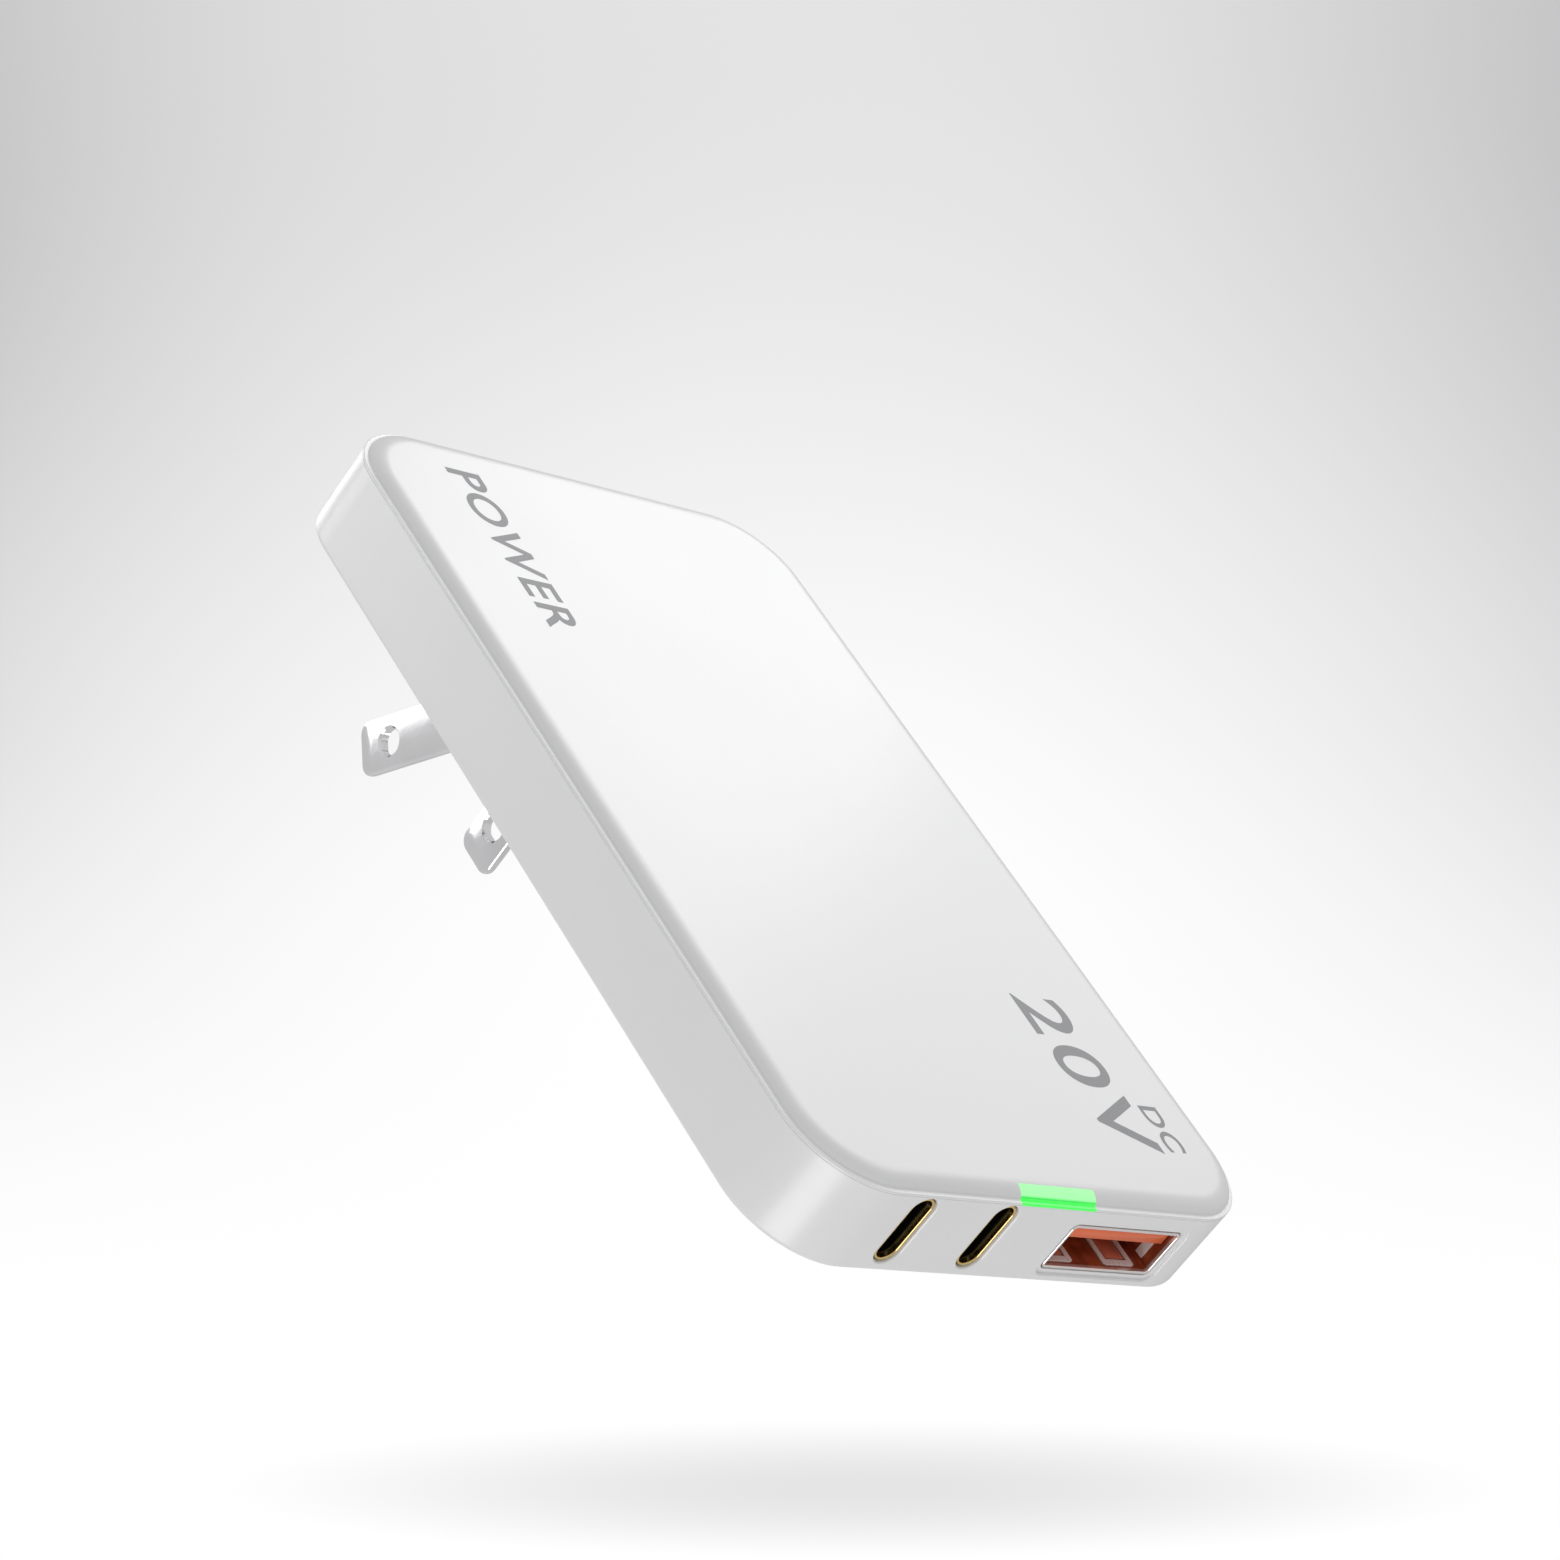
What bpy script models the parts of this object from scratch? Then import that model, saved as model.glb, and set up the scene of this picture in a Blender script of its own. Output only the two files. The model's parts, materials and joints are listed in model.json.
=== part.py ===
"""Slim wall power adapter: a flat white charger with two folding prongs, two USB-C ports and one USB-A port.

Frame: the origin is the centre of the flat back face. +Z leaves through the front cover, +Y runs along the
body away from the ports, and the prongs stand on the -Z side. Lengths are given in millimetres times MM.
"""

import math

import bmesh
import bpy
from mathutils import Matrix, Vector

MM = 0.001

# Body
BODY_WIDTH = 70.0 * MM
BODY_LENGTH = 119.0 * MM
BODY_THICKNESS = 12.1 * MM
CORNER_RADIUS = 10.6 * MM
WALL = 1.2 * MM
BACK_EDGE_RADIUS = 0.7 * MM
COVER_PLATE = 1.1 * MM  # thickness of the front cover over the electronics
DOME_RISE = 0.9 * MM  # how far the cover swells above its outer edge
DOME_BAND = 4.5 * MM  # how far in from the edge that swelling reaches
SKIRT_DEPTH = 1.6 * MM
SKIRT_THICKNESS = 1.0 * MM
SEAM_GAP = 0.15 * MM
FIT_GAP = 0.2 * MM  # between pieces that sit in one another
REST_GAP = 0.1 * MM  # between a piece and the board under it

# Folding prongs: blade size and spacing of a two-pin North American plug
PRONG_SPACING = 12.7 * MM
PRONG_WIDTH = 6.35 * MM
PRONG_THICKNESS = 1.5 * MM
PRONG_REACH = 17.1 * MM  # from the back face to the tip, when the prong stands open
PRONG_HOLE_RADIUS = 1.6 * MM
PRONG_HOLE_FROM_FACE = 12.0 * MM
PRONG_TIP_CHAMFER = 1.3 * MM
PRONG_EDGE_BEVEL = 0.35 * MM
PRONG_NECK_WIDTH = 4.0 * MM
PRONG_NECK_END = 3.6 * MM  # how far the neck stands past the hinge axis
PLUG_INSET = 11.85 * MM  # from the body's left side to the middle of the plug
HINGE_FROM_FAR_END = 40.5 * MM
LEFT_PRONG_ANGLE = math.radians(35)  # the left prong is partly folded at rest, the right one stands open
HUB_WIDTH = 4.6 * MM
HUB_CORNER = 2.0 * MM
PIN_RADIUS = 0.75 * MM
PIN_CLEARANCE = 0.25 * MM
TURN_GAP = 0.3 * MM  # round whatever turns

# Cradle that carries the prongs
CRADLE_SIDE = 0.9 * MM
CRADLE_END = 1.8 * MM
CRADLE_CORNER = 1.0 * MM
HUB_HEADROOM = 1.25 * MM  # from the top of a hub to the top of the cradle
FLANGE = 2.0 * MM
FLANGE_THICKNESS = 1.2 * MM
FINGER_SCOOP_RADIUS = 5.0 * MM
FINGER_SCOOP_DEPTH = 1.8 * MM
HOLDER_THICKNESS = 0.7 * MM
SPRING_THICKNESS = 0.25 * MM
SPRING_WIDTH = 2.6 * MM
TAB_WIDTH = 1.6 * MM
LEAD_RADIUS = 0.6 * MM

# Ports, on the end face at -Y
USB_C_HEIGHT = 8.94 * MM
USB_C_WIDTH = 3.2 * MM
USB_C_WALL = 0.3 * MM
USB_C_TONGUE_HEIGHT = 6.7 * MM
USB_C_TONGUE_THICKNESS = 0.7 * MM
USB_C_TONGUE_SETBACK = 1.2 * MM
USB_C_X = (-19.5 * MM, -6.9 * MM)
USB_C_Z = 5.93 * MM
USB_A_WIDTH = 18.0 * MM
USB_A_HEIGHT = 6.4 * MM
USB_A_WALL = 0.35 * MM
USB_A_CORNER = 0.7 * MM
USB_A_X = 14.3 * MM
USB_A_Z = 5.15 * MM
USB_A_TONGUE_THICKNESS = 1.9 * MM
USB_A_TONGUE_SETBACK = 0.9 * MM
USB_A_CONTACT_SPAN = 7.0 * MM  # first contact to last
USB_A_CONTACT_WIDTH = 1.0 * MM
USB_A_CONTACT_THICKNESS = 0.25 * MM
USB_A_RECESS_MARGIN = 0.7 * MM
USB_A_RECESS_DEPTH = 0.35 * MM
PORT_BLOCK = 3.0 * MM  # insulator that fills the back of a port
PORT_SETBACK = 0.25 * MM  # from the end face to the mouth of a port's metal shell
PORT_BOARD_SETBACK = 11.1 * MM

# Status light
LIGHT_WIDTH = 12.0 * MM
LIGHT_DEPTH = 2.0 * MM
LIGHT_HEEL_DEPTH = 2.9 * MM  # how far in the bar reaches under the cover
LIGHT_HEEL_HEIGHT = 0.3 * MM
LIGHT_STEM_WIDTH = 4.6 * MM
LIGHT_STEM_HEIGHT = 1.5 * MM
LED_SIZE = (3.2 * MM, 0.8 * MM, 1.3 * MM)

# Boards and what lies under them
BOARD_THICKNESS = 1.2 * MM
BOARD_BOTTOM = 2.6 * MM
BOARD_MARGIN = 1.5 * MM  # from the wall's inner face to the board's edge
BOARD_CORNER = 7.0 * MM
PORT_BOARD_THICKNESS = 1.0 * MM
PORT_BOARD_WIDTH = 52.0 * MM
POST_RADIUS = 1.6 * MM
SHEET_GAP = 0.12 * MM
SPREADER_THICKNESS = 0.4 * MM
INSULATION_THICKNESS = 0.25 * MM

ARC_STEPS = 8  # straight steps in a quarter circle of the body's outline
DOME_STEPS = 5
ROUND_STEPS = 24

# Worked out from the values above
FRONT_END = -BODY_LENGTH / 2
LEFT_SIDE = -BODY_WIDTH / 2
COVER_BASE = BODY_THICKNESS - COVER_PLATE
CREASE = BODY_THICKNESS - DOME_RISE
HOUSING_TOP = COVER_BASE - SEAM_GAP
HUB_HALF = PRONG_WIDTH / 2 + 0.1 * MM
HINGE_Y = BODY_LENGTH / 2 - HINGE_FROM_FAR_END
HINGE_Z = HUB_HALF + 0.2 * MM
CRADLE_HEIGHT = 2 * HINGE_Z + HUB_HEADROOM
PLUG_X = LEFT_SIDE + PLUG_INSET
PRONG_X = {"left": PLUG_X - PRONG_SPACING / 2, "right": PLUG_X + PRONG_SPACING / 2}
PRONG_ANGLE = {"left": LEFT_PRONG_ANGLE, "right": 0.0}
PRONG_LENGTH = PRONG_REACH + HINGE_Z  # from the hinge axis to the tip
HUB_SWEEP = math.hypot(PRONG_NECK_END, PRONG_NECK_WIDTH / 2)
POCKET_HALF = HUB_SWEEP + TURN_GAP
POCKET_WIDTH = HUB_WIDTH + 2 * TURN_GAP
CRADLE_WIDTH = PRONG_SPACING + POCKET_WIDTH + 2 * CRADLE_SIDE
CRADLE_LOW = HINGE_Y - POCKET_HALF - CRADLE_END
CRADLE_HIGH = HINGE_Y + PRONG_LENGTH + 2 * TURN_GAP + CRADLE_END
HOLDER_LOW = CRADLE_HEIGHT + FIT_GAP
HOLDER_TOP = HOLDER_LOW + HOLDER_THICKNESS
BOARD_TOP = BOARD_BOTTOM + BOARD_THICKNESS
PORT_MOUTH = FRONT_END + PORT_SETBACK
PORT_BOARD_FRONT = FRONT_END + PORT_BOARD_SETBACK
PORT_BACK = PORT_BOARD_FRONT - FIT_GAP
PORT_BOARD_BACK = PORT_BOARD_FRONT + PORT_BOARD_THICKNESS
BOARD_FRONT = PORT_BOARD_BACK + 1.6 * MM
INSIDE_X = BODY_WIDTH / 2 - WALL
INSIDE_Y = BODY_LENGTH / 2 - WALL


# Scene and object helpers


def clear_scene():
    for obj in list(bpy.data.objects):
        bpy.data.objects.remove(obj, do_unlink=True)


def new_collection(name):
    collection = bpy.data.collections.new(name)
    bpy.context.scene.collection.children.link(collection)
    return collection


def new_material(name, colour, roughness, metallic=0.0):
    material = bpy.data.materials.new(name)
    material.use_nodes = True
    shader = material.node_tree.nodes["Principled BSDF"]
    shader.inputs["Base Color"].default_value = (*colour, 1.0)
    shader.inputs["Roughness"].default_value = roughness
    shader.inputs["Metallic"].default_value = metallic
    return material


def add_object(name, data, material, parent=None):
    """Links a named part, or a cutter where there is no material."""
    obj = bpy.data.objects.new(name, data)
    if material is None:
        CUTTERS.objects.link(obj)
        obj.hide_render = True
        obj.display_type = "WIRE"
    else:
        PARTS.objects.link(obj)
        data.materials.append(material)
    obj.parent = parent
    return obj


def mesh_from(bm, name):
    mesh = bpy.data.meshes.new(name)
    bm.to_mesh(mesh)
    bm.free()
    mesh.shade_smooth()
    mesh.set_sharp_from_angle(angle=math.radians(35))
    return mesh


def edges_along(bm, axis):
    """The edges that run along one axis, 0 for X, 1 for Y and 2 for Z."""
    found = []
    for edge in bm.edges:
        run = edge.verts[1].co - edge.verts[0].co
        if abs(run[axis]) > 0.999 * run.length:
            found.append(edge)
    return found


def box_bmesh(low, high):
    low, high = Vector(low), Vector(high)
    size = high - low
    bm = bmesh.new()
    place = Matrix.Translation((low + high) / 2) @ Matrix.Diagonal((*size, 1.0))
    bmesh.ops.create_cube(bm, size=1.0, matrix=place)
    return bm


def add_box(name, low, high, material, radius=0.0, axis=2, segments=3, parent=None):
    """A box between two corners, whose edges along one axis may be rounded."""
    bm = box_bmesh(low, high)
    if radius:
        bmesh.ops.bevel(
            bm, geom=edges_along(bm, axis), offset=radius, segments=segments, profile=0.5, affect="EDGES"
        )
    return add_object(name, mesh_from(bm, name), material, parent)


def add_block(name, centre, size, material, radius=0.3 * MM):
    """A box that stands on the power board, given by its middle in plan and its size."""
    (x, y), (width, length, height) = centre, size
    bottom = BOARD_TOP + REST_GAP
    low = (x - width / 2, y - length / 2, bottom)
    high = (x + width / 2, y + length / 2, bottom + height)
    return add_box(name, low, high, material, radius, segments=2)


def add_cylinder(name, radius, start, end, material, steps=ROUND_STEPS, parent=None):
    start, end = Vector(start), Vector(end)
    run = end - start
    bm = bmesh.new()
    turn = run.to_track_quat("Z", "Y").to_matrix().to_4x4()
    place = Matrix.Translation((start + end) / 2) @ turn
    bmesh.ops.create_cone(
        bm, cap_ends=True, segments=steps, radius1=radius, radius2=radius, depth=run.length, matrix=place
    )
    return add_object(name, mesh_from(bm, name), material, parent)


def arc(centre, radius, start, end, steps):
    """Points on an arc, with its angles in degrees."""
    points = []
    for k in range(steps + 1):
        angle = math.radians(start + (end - start) * k / steps)
        points.append((centre[0] + radius * math.cos(angle), centre[1] + radius * math.sin(angle)))
    return points


def rounded_outline(width, height, radius, steps=5):
    """A rectangle with round corners, about the origin."""
    x, y = width / 2 - radius, height / 2 - radius
    corners = (((x, y), 0), ((-x, y), 90), ((-x, -y), 180), ((x, -y), 270))
    points = []
    for centre, start in corners:
        points += arc(centre, radius, start, start + 90, steps)
    return points


def circle_outline(centre, radius, steps=ROUND_STEPS):
    return arc(centre, radius, 0, 360, steps)[:-1]


def outline_curve(name, outlines, thickness):
    """A flat 2D curve, its inner outlines left open as holes, with its thickness centred on its plane."""
    curve = bpy.data.curves.new(name, "CURVE")
    curve.dimensions = "2D"
    curve.fill_mode = "BOTH"
    curve.extrude = thickness / 2
    for outline in outlines:
        kept = [p for k, p in enumerate(outline) if math.dist(p, outline[k - 1]) > 0.001 * MM]
        spline = curve.splines.new("POLY")
        spline.points.add(len(kept) - 1)
        spline.use_cyclic_u = True
        for point, (x, y) in zip(spline.points, kept):
            point.co = (x, y, 0.0, 1.0)
    return curve


def add_outline(name, outlines, thickness, place, material, parent=None):
    obj = add_object(name, outline_curve(name, outlines, thickness), material, parent)
    obj.matrix_local = place
    return obj


def as_mesh(obj):
    """Makes a curve object a mesh, with its caps welded, so that Booleans can use it."""
    bpy.context.view_layer.update()
    graph = bpy.context.evaluated_depsgraph_get()
    mesh = bpy.data.meshes.new_from_object(obj.evaluated_get(graph))
    bm = bmesh.new()
    bm.from_mesh(mesh)
    bmesh.ops.remove_doubles(bm, verts=bm.verts, dist=0.001 * MM)
    bmesh.ops.recalc_face_normals(bm, faces=bm.faces)
    bm.to_mesh(mesh)
    bm.free()
    name, is_cutter, world, parent = obj.name, obj.hide_render, obj.matrix_world.copy(), obj.parent
    material = None if is_cutter else obj.data.materials[0]
    bpy.data.objects.remove(obj)
    mesh.materials.clear()
    made = add_object(name, mesh, material, parent)
    made.matrix_world = world
    return made


def boolean(target, other, operation):
    modifier = target.modifiers.new(f"{operation.lower()} {other.name}", "BOOLEAN")
    modifier.operation = operation
    modifier.solver = "EXACT"
    modifier.object = other
    return target


def cut(target, *cutters):
    for cutter in cutters:
        boolean(target, cutter, "DIFFERENCE")
    return target


def join(target, *others):
    for other in others:
        boolean(target, other, "UNION")
    return target


def add_turned(name, profile, start, end, material, steps=18):
    """A turned piece: its profile lists (radius, distance from start) and runs from the far end back to start."""
    start, end = Vector(start), Vector(end)
    bm = bmesh.new()
    verts = [bm.verts.new((radius, 0.0, along)) for radius, along in profile]
    for first, second in zip(verts, verts[1:]):
        bm.edges.new((first, second))
    mesh = bpy.data.meshes.new(name)
    bm.to_mesh(mesh)
    bm.free()
    obj = add_object(name, mesh, material)
    screw = obj.modifiers.new("turn", "SCREW")
    screw.axis = "Z"
    screw.steps = steps
    screw.render_steps = steps
    screw.use_merge_vertices = True
    screw.merge_threshold = 0.01 * MM
    obj.matrix_world = Matrix.Translation(start) @ (end - start).to_track_quat("Z", "Y").to_matrix().to_4x4()
    return obj


def add_wire(name, points, radius, material):
    curve = bpy.data.curves.new(name, "CURVE")
    curve.dimensions = "3D"
    curve.bevel_depth = radius
    curve.bevel_resolution = 2
    curve.use_fill_caps = True
    spline = curve.splines.new("POLY")
    spline.points.add(len(points) - 1)
    for point, place in zip(spline.points, points):
        point.co = (*place, 1.0)
    return add_object(name, curve, material)


# Casing


def slab_bmesh(width, length, radius, bottom, top):
    """A slab with four round upright corners, about the Z axis."""
    bm = box_bmesh((-width / 2, -length / 2, bottom), (width / 2, length / 2, top))
    bmesh.ops.bevel(
        bm, geom=edges_along(bm, 2), offset=radius, segments=ARC_STEPS, profile=0.5, affect="EDGES"
    )
    return bm


def facing(bm, direction):
    """The one face whose normal points up, with direction 1, or down, with direction -1."""
    return next(face for face in bm.faces if face.normal.z * direction > 0.99)


def step(bm, face, inset, depth):
    """Draws a face in by an even inset, then pushes it straight along its normal."""
    bmesh.ops.inset_region(bm, faces=[face], thickness=inset, use_even_offset=True)
    pushed = bmesh.ops.extrude_discrete_faces(bm, faces=[face])["faces"][0]
    bmesh.ops.translate(bm, verts=pushed.verts, vec=pushed.normal * depth)
    return pushed


def domed_slab():
    """The front cover's outer form: an upright edge, then a quarter-ellipse swell up to the flat middle."""
    bm = slab_bmesh(BODY_WIDTH, BODY_LENGTH, CORNER_RADIUS, COVER_BASE, CREASE)
    top = facing(bm, 1)
    for k in range(DOME_STEPS):
        low, high = (math.pi / 2 * j / DOME_STEPS for j in (k, k + 1))
        bmesh.ops.inset_region(
            bm,
            faces=[top],
            thickness=DOME_BAND * (math.cos(low) - math.cos(high)),
            depth=DOME_RISE * (math.sin(high) - math.sin(low)),
            use_even_offset=True,
        )
    return bm


def front_cover():
    """A domed lid whose skirt drops inside the housing's wall."""
    bm = domed_slab()
    under = step(bm, facing(bm, -1), WALL + FIT_GAP, SKIRT_DEPTH)
    step(bm, under, SKIRT_THICKNESS, -SKIRT_DEPTH)
    cover = add_object("front_cover", mesh_from(bm, "front_cover"), WHITE)
    half = LIGHT_WIDTH / 2 + FIT_GAP
    window = add_box(
        "light_window_cut",
        (-half, FRONT_END - 1 * MM, COVER_BASE - 2 * SKIRT_DEPTH),
        (half, FRONT_END + LIGHT_DEPTH + FIT_GAP, BODY_THICKNESS + 1 * MM),
        None,
    )
    half = LIGHT_STEM_WIDTH / 2 + FIT_GAP
    pocket = add_box(
        "light_heel_cut",
        (-half, FRONT_END + LIGHT_DEPTH, COVER_BASE - 1 * MM),
        (half, FRONT_END + LIGHT_HEEL_DEPTH + FIT_GAP, COVER_BASE + LIGHT_HEEL_HEIGHT + FIT_GAP),
        None,
    )
    notch = add_box(
        "skirt_notch_cut",
        (USB_C_X[0] - USB_C_WIDTH, FRONT_END + WALL, COVER_BASE - 2 * SKIRT_DEPTH),
        (USB_A_X + USB_A_WIDTH / 2 + 2 * FIT_GAP, FRONT_END + 3 * WALL, COVER_BASE - REST_GAP),
        None,
    )
    cut(cover, window, pocket, notch)


def led_light_bar():
    """A clear bar flush in the cover's front edge, with a stem that leads back to the status LED."""
    bm = domed_slab()
    bar = add_object("led_light_bar", mesh_from(bm, "led_light_bar"), LIGHT)
    keep = add_box(
        "light_bar_limit",
        (-LIGHT_WIDTH / 2, FRONT_END - 1 * MM, COVER_BASE - 1 * MM),
        (LIGHT_WIDTH / 2, FRONT_END + LIGHT_DEPTH, BODY_THICKNESS + 1 * MM),
        None,
    )
    boolean(bar, keep, "INTERSECT")
    stem_half = LIGHT_STEM_WIDTH / 2
    drop = add_box(
        "light_drop",
        (-stem_half, FRONT_END + WALL + FIT_GAP, COVER_BASE - FIT_GAP - LIGHT_STEM_HEIGHT),
        (stem_half, FRONT_END + LIGHT_HEEL_DEPTH, COVER_BASE + LIGHT_HEEL_HEIGHT),
        None,
    )
    stem = add_box(
        "light_stem",
        (-stem_half + FIT_GAP, FRONT_END + WALL + 2 * FIT_GAP, COVER_BASE - 2 * FIT_GAP - LIGHT_STEM_HEIGHT),
        (stem_half - FIT_GAP, PORT_BACK - LED_SIZE[1] - 2 * FIT_GAP, COVER_BASE - 2 * FIT_GAP),
        None,
    )
    join(bar, drop, stem)


def port_cutters():
    """Openings in the end wall, and the shallow step round the USB-A port."""
    y = FRONT_END + WALL / 2
    place = Matrix.Rotation(math.radians(90), 4, "X")
    made = []
    for k, x in enumerate(USB_C_X, 1):
        outline = rounded_outline(
            USB_C_WIDTH + 2 * FIT_GAP, USB_C_HEIGHT + 2 * FIT_GAP, USB_C_WIDTH / 2 + FIT_GAP, 6
        )
        at = Matrix.Translation((x, y, USB_C_Z)) @ place
        made.append(as_mesh(add_outline(f"usb_c_{k}_cut", [outline], 3 * WALL, at, None)))
    wide, high = USB_A_WIDTH + 2 * FIT_GAP, USB_A_HEIGHT + 2 * FIT_GAP
    outline = rounded_outline(wide, high, USB_A_CORNER + FIT_GAP, 4)
    at = Matrix.Translation((USB_A_X, y, USB_A_Z)) @ place
    made.append(as_mesh(add_outline("usb_a_cut", [outline], 3 * WALL, at, None)))
    margin = 2 * USB_A_RECESS_MARGIN
    outline = rounded_outline(wide + margin, high + margin, USB_A_CORNER + USB_A_RECESS_MARGIN, 4)
    at = Matrix.Translation((USB_A_X, FRONT_END, USB_A_Z)) @ place
    made.append(as_mesh(add_outline("usb_a_recess_cut", [outline], 2 * USB_A_RECESS_DEPTH, at, None)))
    return made


def rear_housing():
    """The tray: the back wall and the side walls in one shell, with posts for the power board."""
    bm = slab_bmesh(BODY_WIDTH, BODY_LENGTH, CORNER_RADIUS, 0.0, HOUSING_TOP)
    rim = list(facing(bm, -1).edges)
    bmesh.ops.bevel(bm, geom=rim, offset=BACK_EDGE_RADIUS, segments=3, profile=0.5, affect="EDGES")
    step(bm, facing(bm, 1), WALL, WALL - HOUSING_TOP)
    housing = add_object("rear_housing", mesh_from(bm, "rear_housing"), WHITE)
    for k, (x, y) in enumerate(post_places(), 1):
        post = add_cylinder(
            f"post_{k}", POST_RADIUS, (x, y, WALL / 2), (x, y, BOARD_BOTTOM - REST_GAP), None, 12
        )
        join(housing, post)
    half = CRADLE_WIDTH / 2 + FIT_GAP
    opening = add_box(
        "cradle_opening_cut",
        (PLUG_X - half, CRADLE_LOW - FIT_GAP, -1 * MM),
        (PLUG_X + half, CRADLE_HIGH + FIT_GAP, WALL + FIT_GAP),
        None,
        CRADLE_CORNER + FIT_GAP,
    )
    cut(housing, opening, *port_cutters())


def post_places():
    """Middles of the posts under the power board: two behind the port board, one at the right, one at the top."""
    x = INSIDE_X - 4 * MM
    return (
        (-x, BOARD_FRONT + 3 * MM),
        (x, BOARD_FRONT + 3 * MM),
        (x, HINGE_Y - 4 * MM),
        (-x + 6 * MM, INSIDE_Y - 5 * MM),
    )


# Prongs and their cradle


def prong_outline():
    """The blade in its own plane: x across, y along from the hinge axis, with the neck that sits in the hub."""
    half, neck = PRONG_WIDTH / 2, PRONG_NECK_WIDTH / 2
    tip, shoulder = -PRONG_LENGTH, -(HUB_HALF + TURN_GAP)
    chamfer, relief = PRONG_TIP_CHAMFER, 0.5 * MM
    right = [(half - chamfer, tip), (half - 0.3 * chamfer, tip + 0.3 * chamfer), (half, tip + chamfer)]
    right += [(half, shoulder), (neck, shoulder)]
    right += [(neck, PRONG_NECK_END - relief), (neck - relief, PRONG_NECK_END)]
    return right + [(-x, y) for x, y in reversed(right)]


def prong(side):
    """A blade and its moulded hub, both hung from an empty on the hinge axis."""
    pivot = bpy.data.objects.new(f"prong_{side}_pivot", None)
    PARTS.objects.link(pivot)
    pivot.location = (PRONG_X[side], HINGE_Y, HINGE_Z)
    pivot.rotation_euler = (PRONG_ANGLE[side], 0.0, 0.0)
    # The outline's plane is turned so that its x runs along Y and its y along Z.
    across = Matrix.Rotation(math.radians(90), 4, "Z") @ Matrix.Rotation(math.radians(90), 4, "X")
    holes = [
        circle_outline((0, -HINGE_Z - PRONG_HOLE_FROM_FACE), PRONG_HOLE_RADIUS, 24),
        circle_outline((0, 0), PIN_RADIUS + PIN_CLEARANCE, 16),
    ]
    name = f"prong_{side}"
    blade = as_mesh(add_outline(name, [prong_outline(), *holes], PRONG_THICKNESS, across, METAL, pivot))
    bevel = blade.modifiers.new("soft edges", "BEVEL")
    bevel.width = PRONG_EDGE_BEVEL
    bevel.segments = 2
    bevel.limit_method = "ANGLE"
    bevel.angle_limit = math.radians(50)

    half, wide = HUB_HALF, HUB_WIDTH / 2
    hub = add_box(
        f"prong_hub_{side}", (-wide, -half, -half), (wide, half, half), GREY, HUB_CORNER, 0, 4, pivot
    )
    slot = add_box(
        f"neck_cut_{side}",
        (-PRONG_THICKNESS / 2 - FIT_GAP, -PRONG_NECK_WIDTH / 2 - FIT_GAP, -half - 1 * MM),
        (PRONG_THICKNESS / 2 + FIT_GAP, PRONG_NECK_WIDTH / 2 + FIT_GAP, half + 1 * MM),
        None,
        parent=pivot,
    )
    bore = add_cylinder(
        f"hub_bore_cut_{side}", PIN_RADIUS + PIN_CLEARANCE, (-HUB_WIDTH, 0, 0), (HUB_WIDTH, 0, 0), None, 16, pivot
    )
    cut(hub, slot, bore)


def prong_cradle():
    """The block that fills the opening in the back wall, with a pocket and a slot for each prong."""
    half = CRADLE_WIDTH / 2
    cradle = add_box(
        "prong_cradle",
        (PLUG_X - half, CRADLE_LOW, 0.0),
        (PLUG_X + half, CRADLE_HIGH, CRADLE_HEIGHT),
        WHITE,
        CRADLE_CORNER,
    )
    flange = add_box(
        "cradle_flange",
        (PLUG_X - half + FIT_GAP, CRADLE_LOW - FLANGE, WALL + FIT_GAP),
        (PLUG_X + half + FLANGE, CRADLE_HIGH + FLANGE, WALL + FIT_GAP + FLANGE_THICKNESS),
        None,
    )
    join(cradle, flange)
    slot_half, pocket_half = PRONG_THICKNESS / 2 + TURN_GAP, POCKET_WIDTH / 2
    slot_top = HINGE_Z + PRONG_WIDTH / 2 + TURN_GAP
    for side, x in PRONG_X.items():
        pocket = add_box(
            f"hub_pocket_cut_{side}",
            (x - pocket_half, HINGE_Y - POCKET_HALF, -1 * MM),
            (x + pocket_half, HINGE_Y + POCKET_HALF, CRADLE_HEIGHT + 1 * MM),
            None,
        )
        slot = add_box(
            f"prong_slot_cut_{side}",
            (x - slot_half, HINGE_Y, -1 * MM),
            (x + slot_half, CRADLE_HIGH - CRADLE_END, slot_top),
            None,
        )
        cut(cradle, pocket, slot)
    scoop_y, scoop_z = CRADLE_HIGH - CRADLE_END - FINGER_SCOOP_RADIUS / 2, FINGER_SCOOP_DEPTH - FINGER_SCOOP_RADIUS
    reach = PRONG_SPACING / 2 + slot_half + 1 * MM
    scoop = add_cylinder(
        "finger_scoop_cut",
        FINGER_SCOOP_RADIUS,
        (PLUG_X - reach, scoop_y, scoop_z),
        (PLUG_X + reach, scoop_y, scoop_z),
        None,
        32,
    )
    bore = add_cylinder(
        "pin_bore_cut",
        PIN_RADIUS + PIN_CLEARANCE,
        (PLUG_X - half - 1 * MM, HINGE_Y, HINGE_Z),
        (PLUG_X + half + 1 * MM, HINGE_Y, HINGE_Z),
        None,
        16,
    )
    cut(cradle, scoop, bore)


def hinge_pin():
    half = CRADLE_WIDTH / 2 - FIT_GAP
    add_cylinder(
        "hinge_pin", PIN_RADIUS, (PLUG_X - half, HINGE_Y, HINGE_Z), (PLUG_X + half, HINGE_Y, HINGE_Z), STEEL, 16
    )


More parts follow.
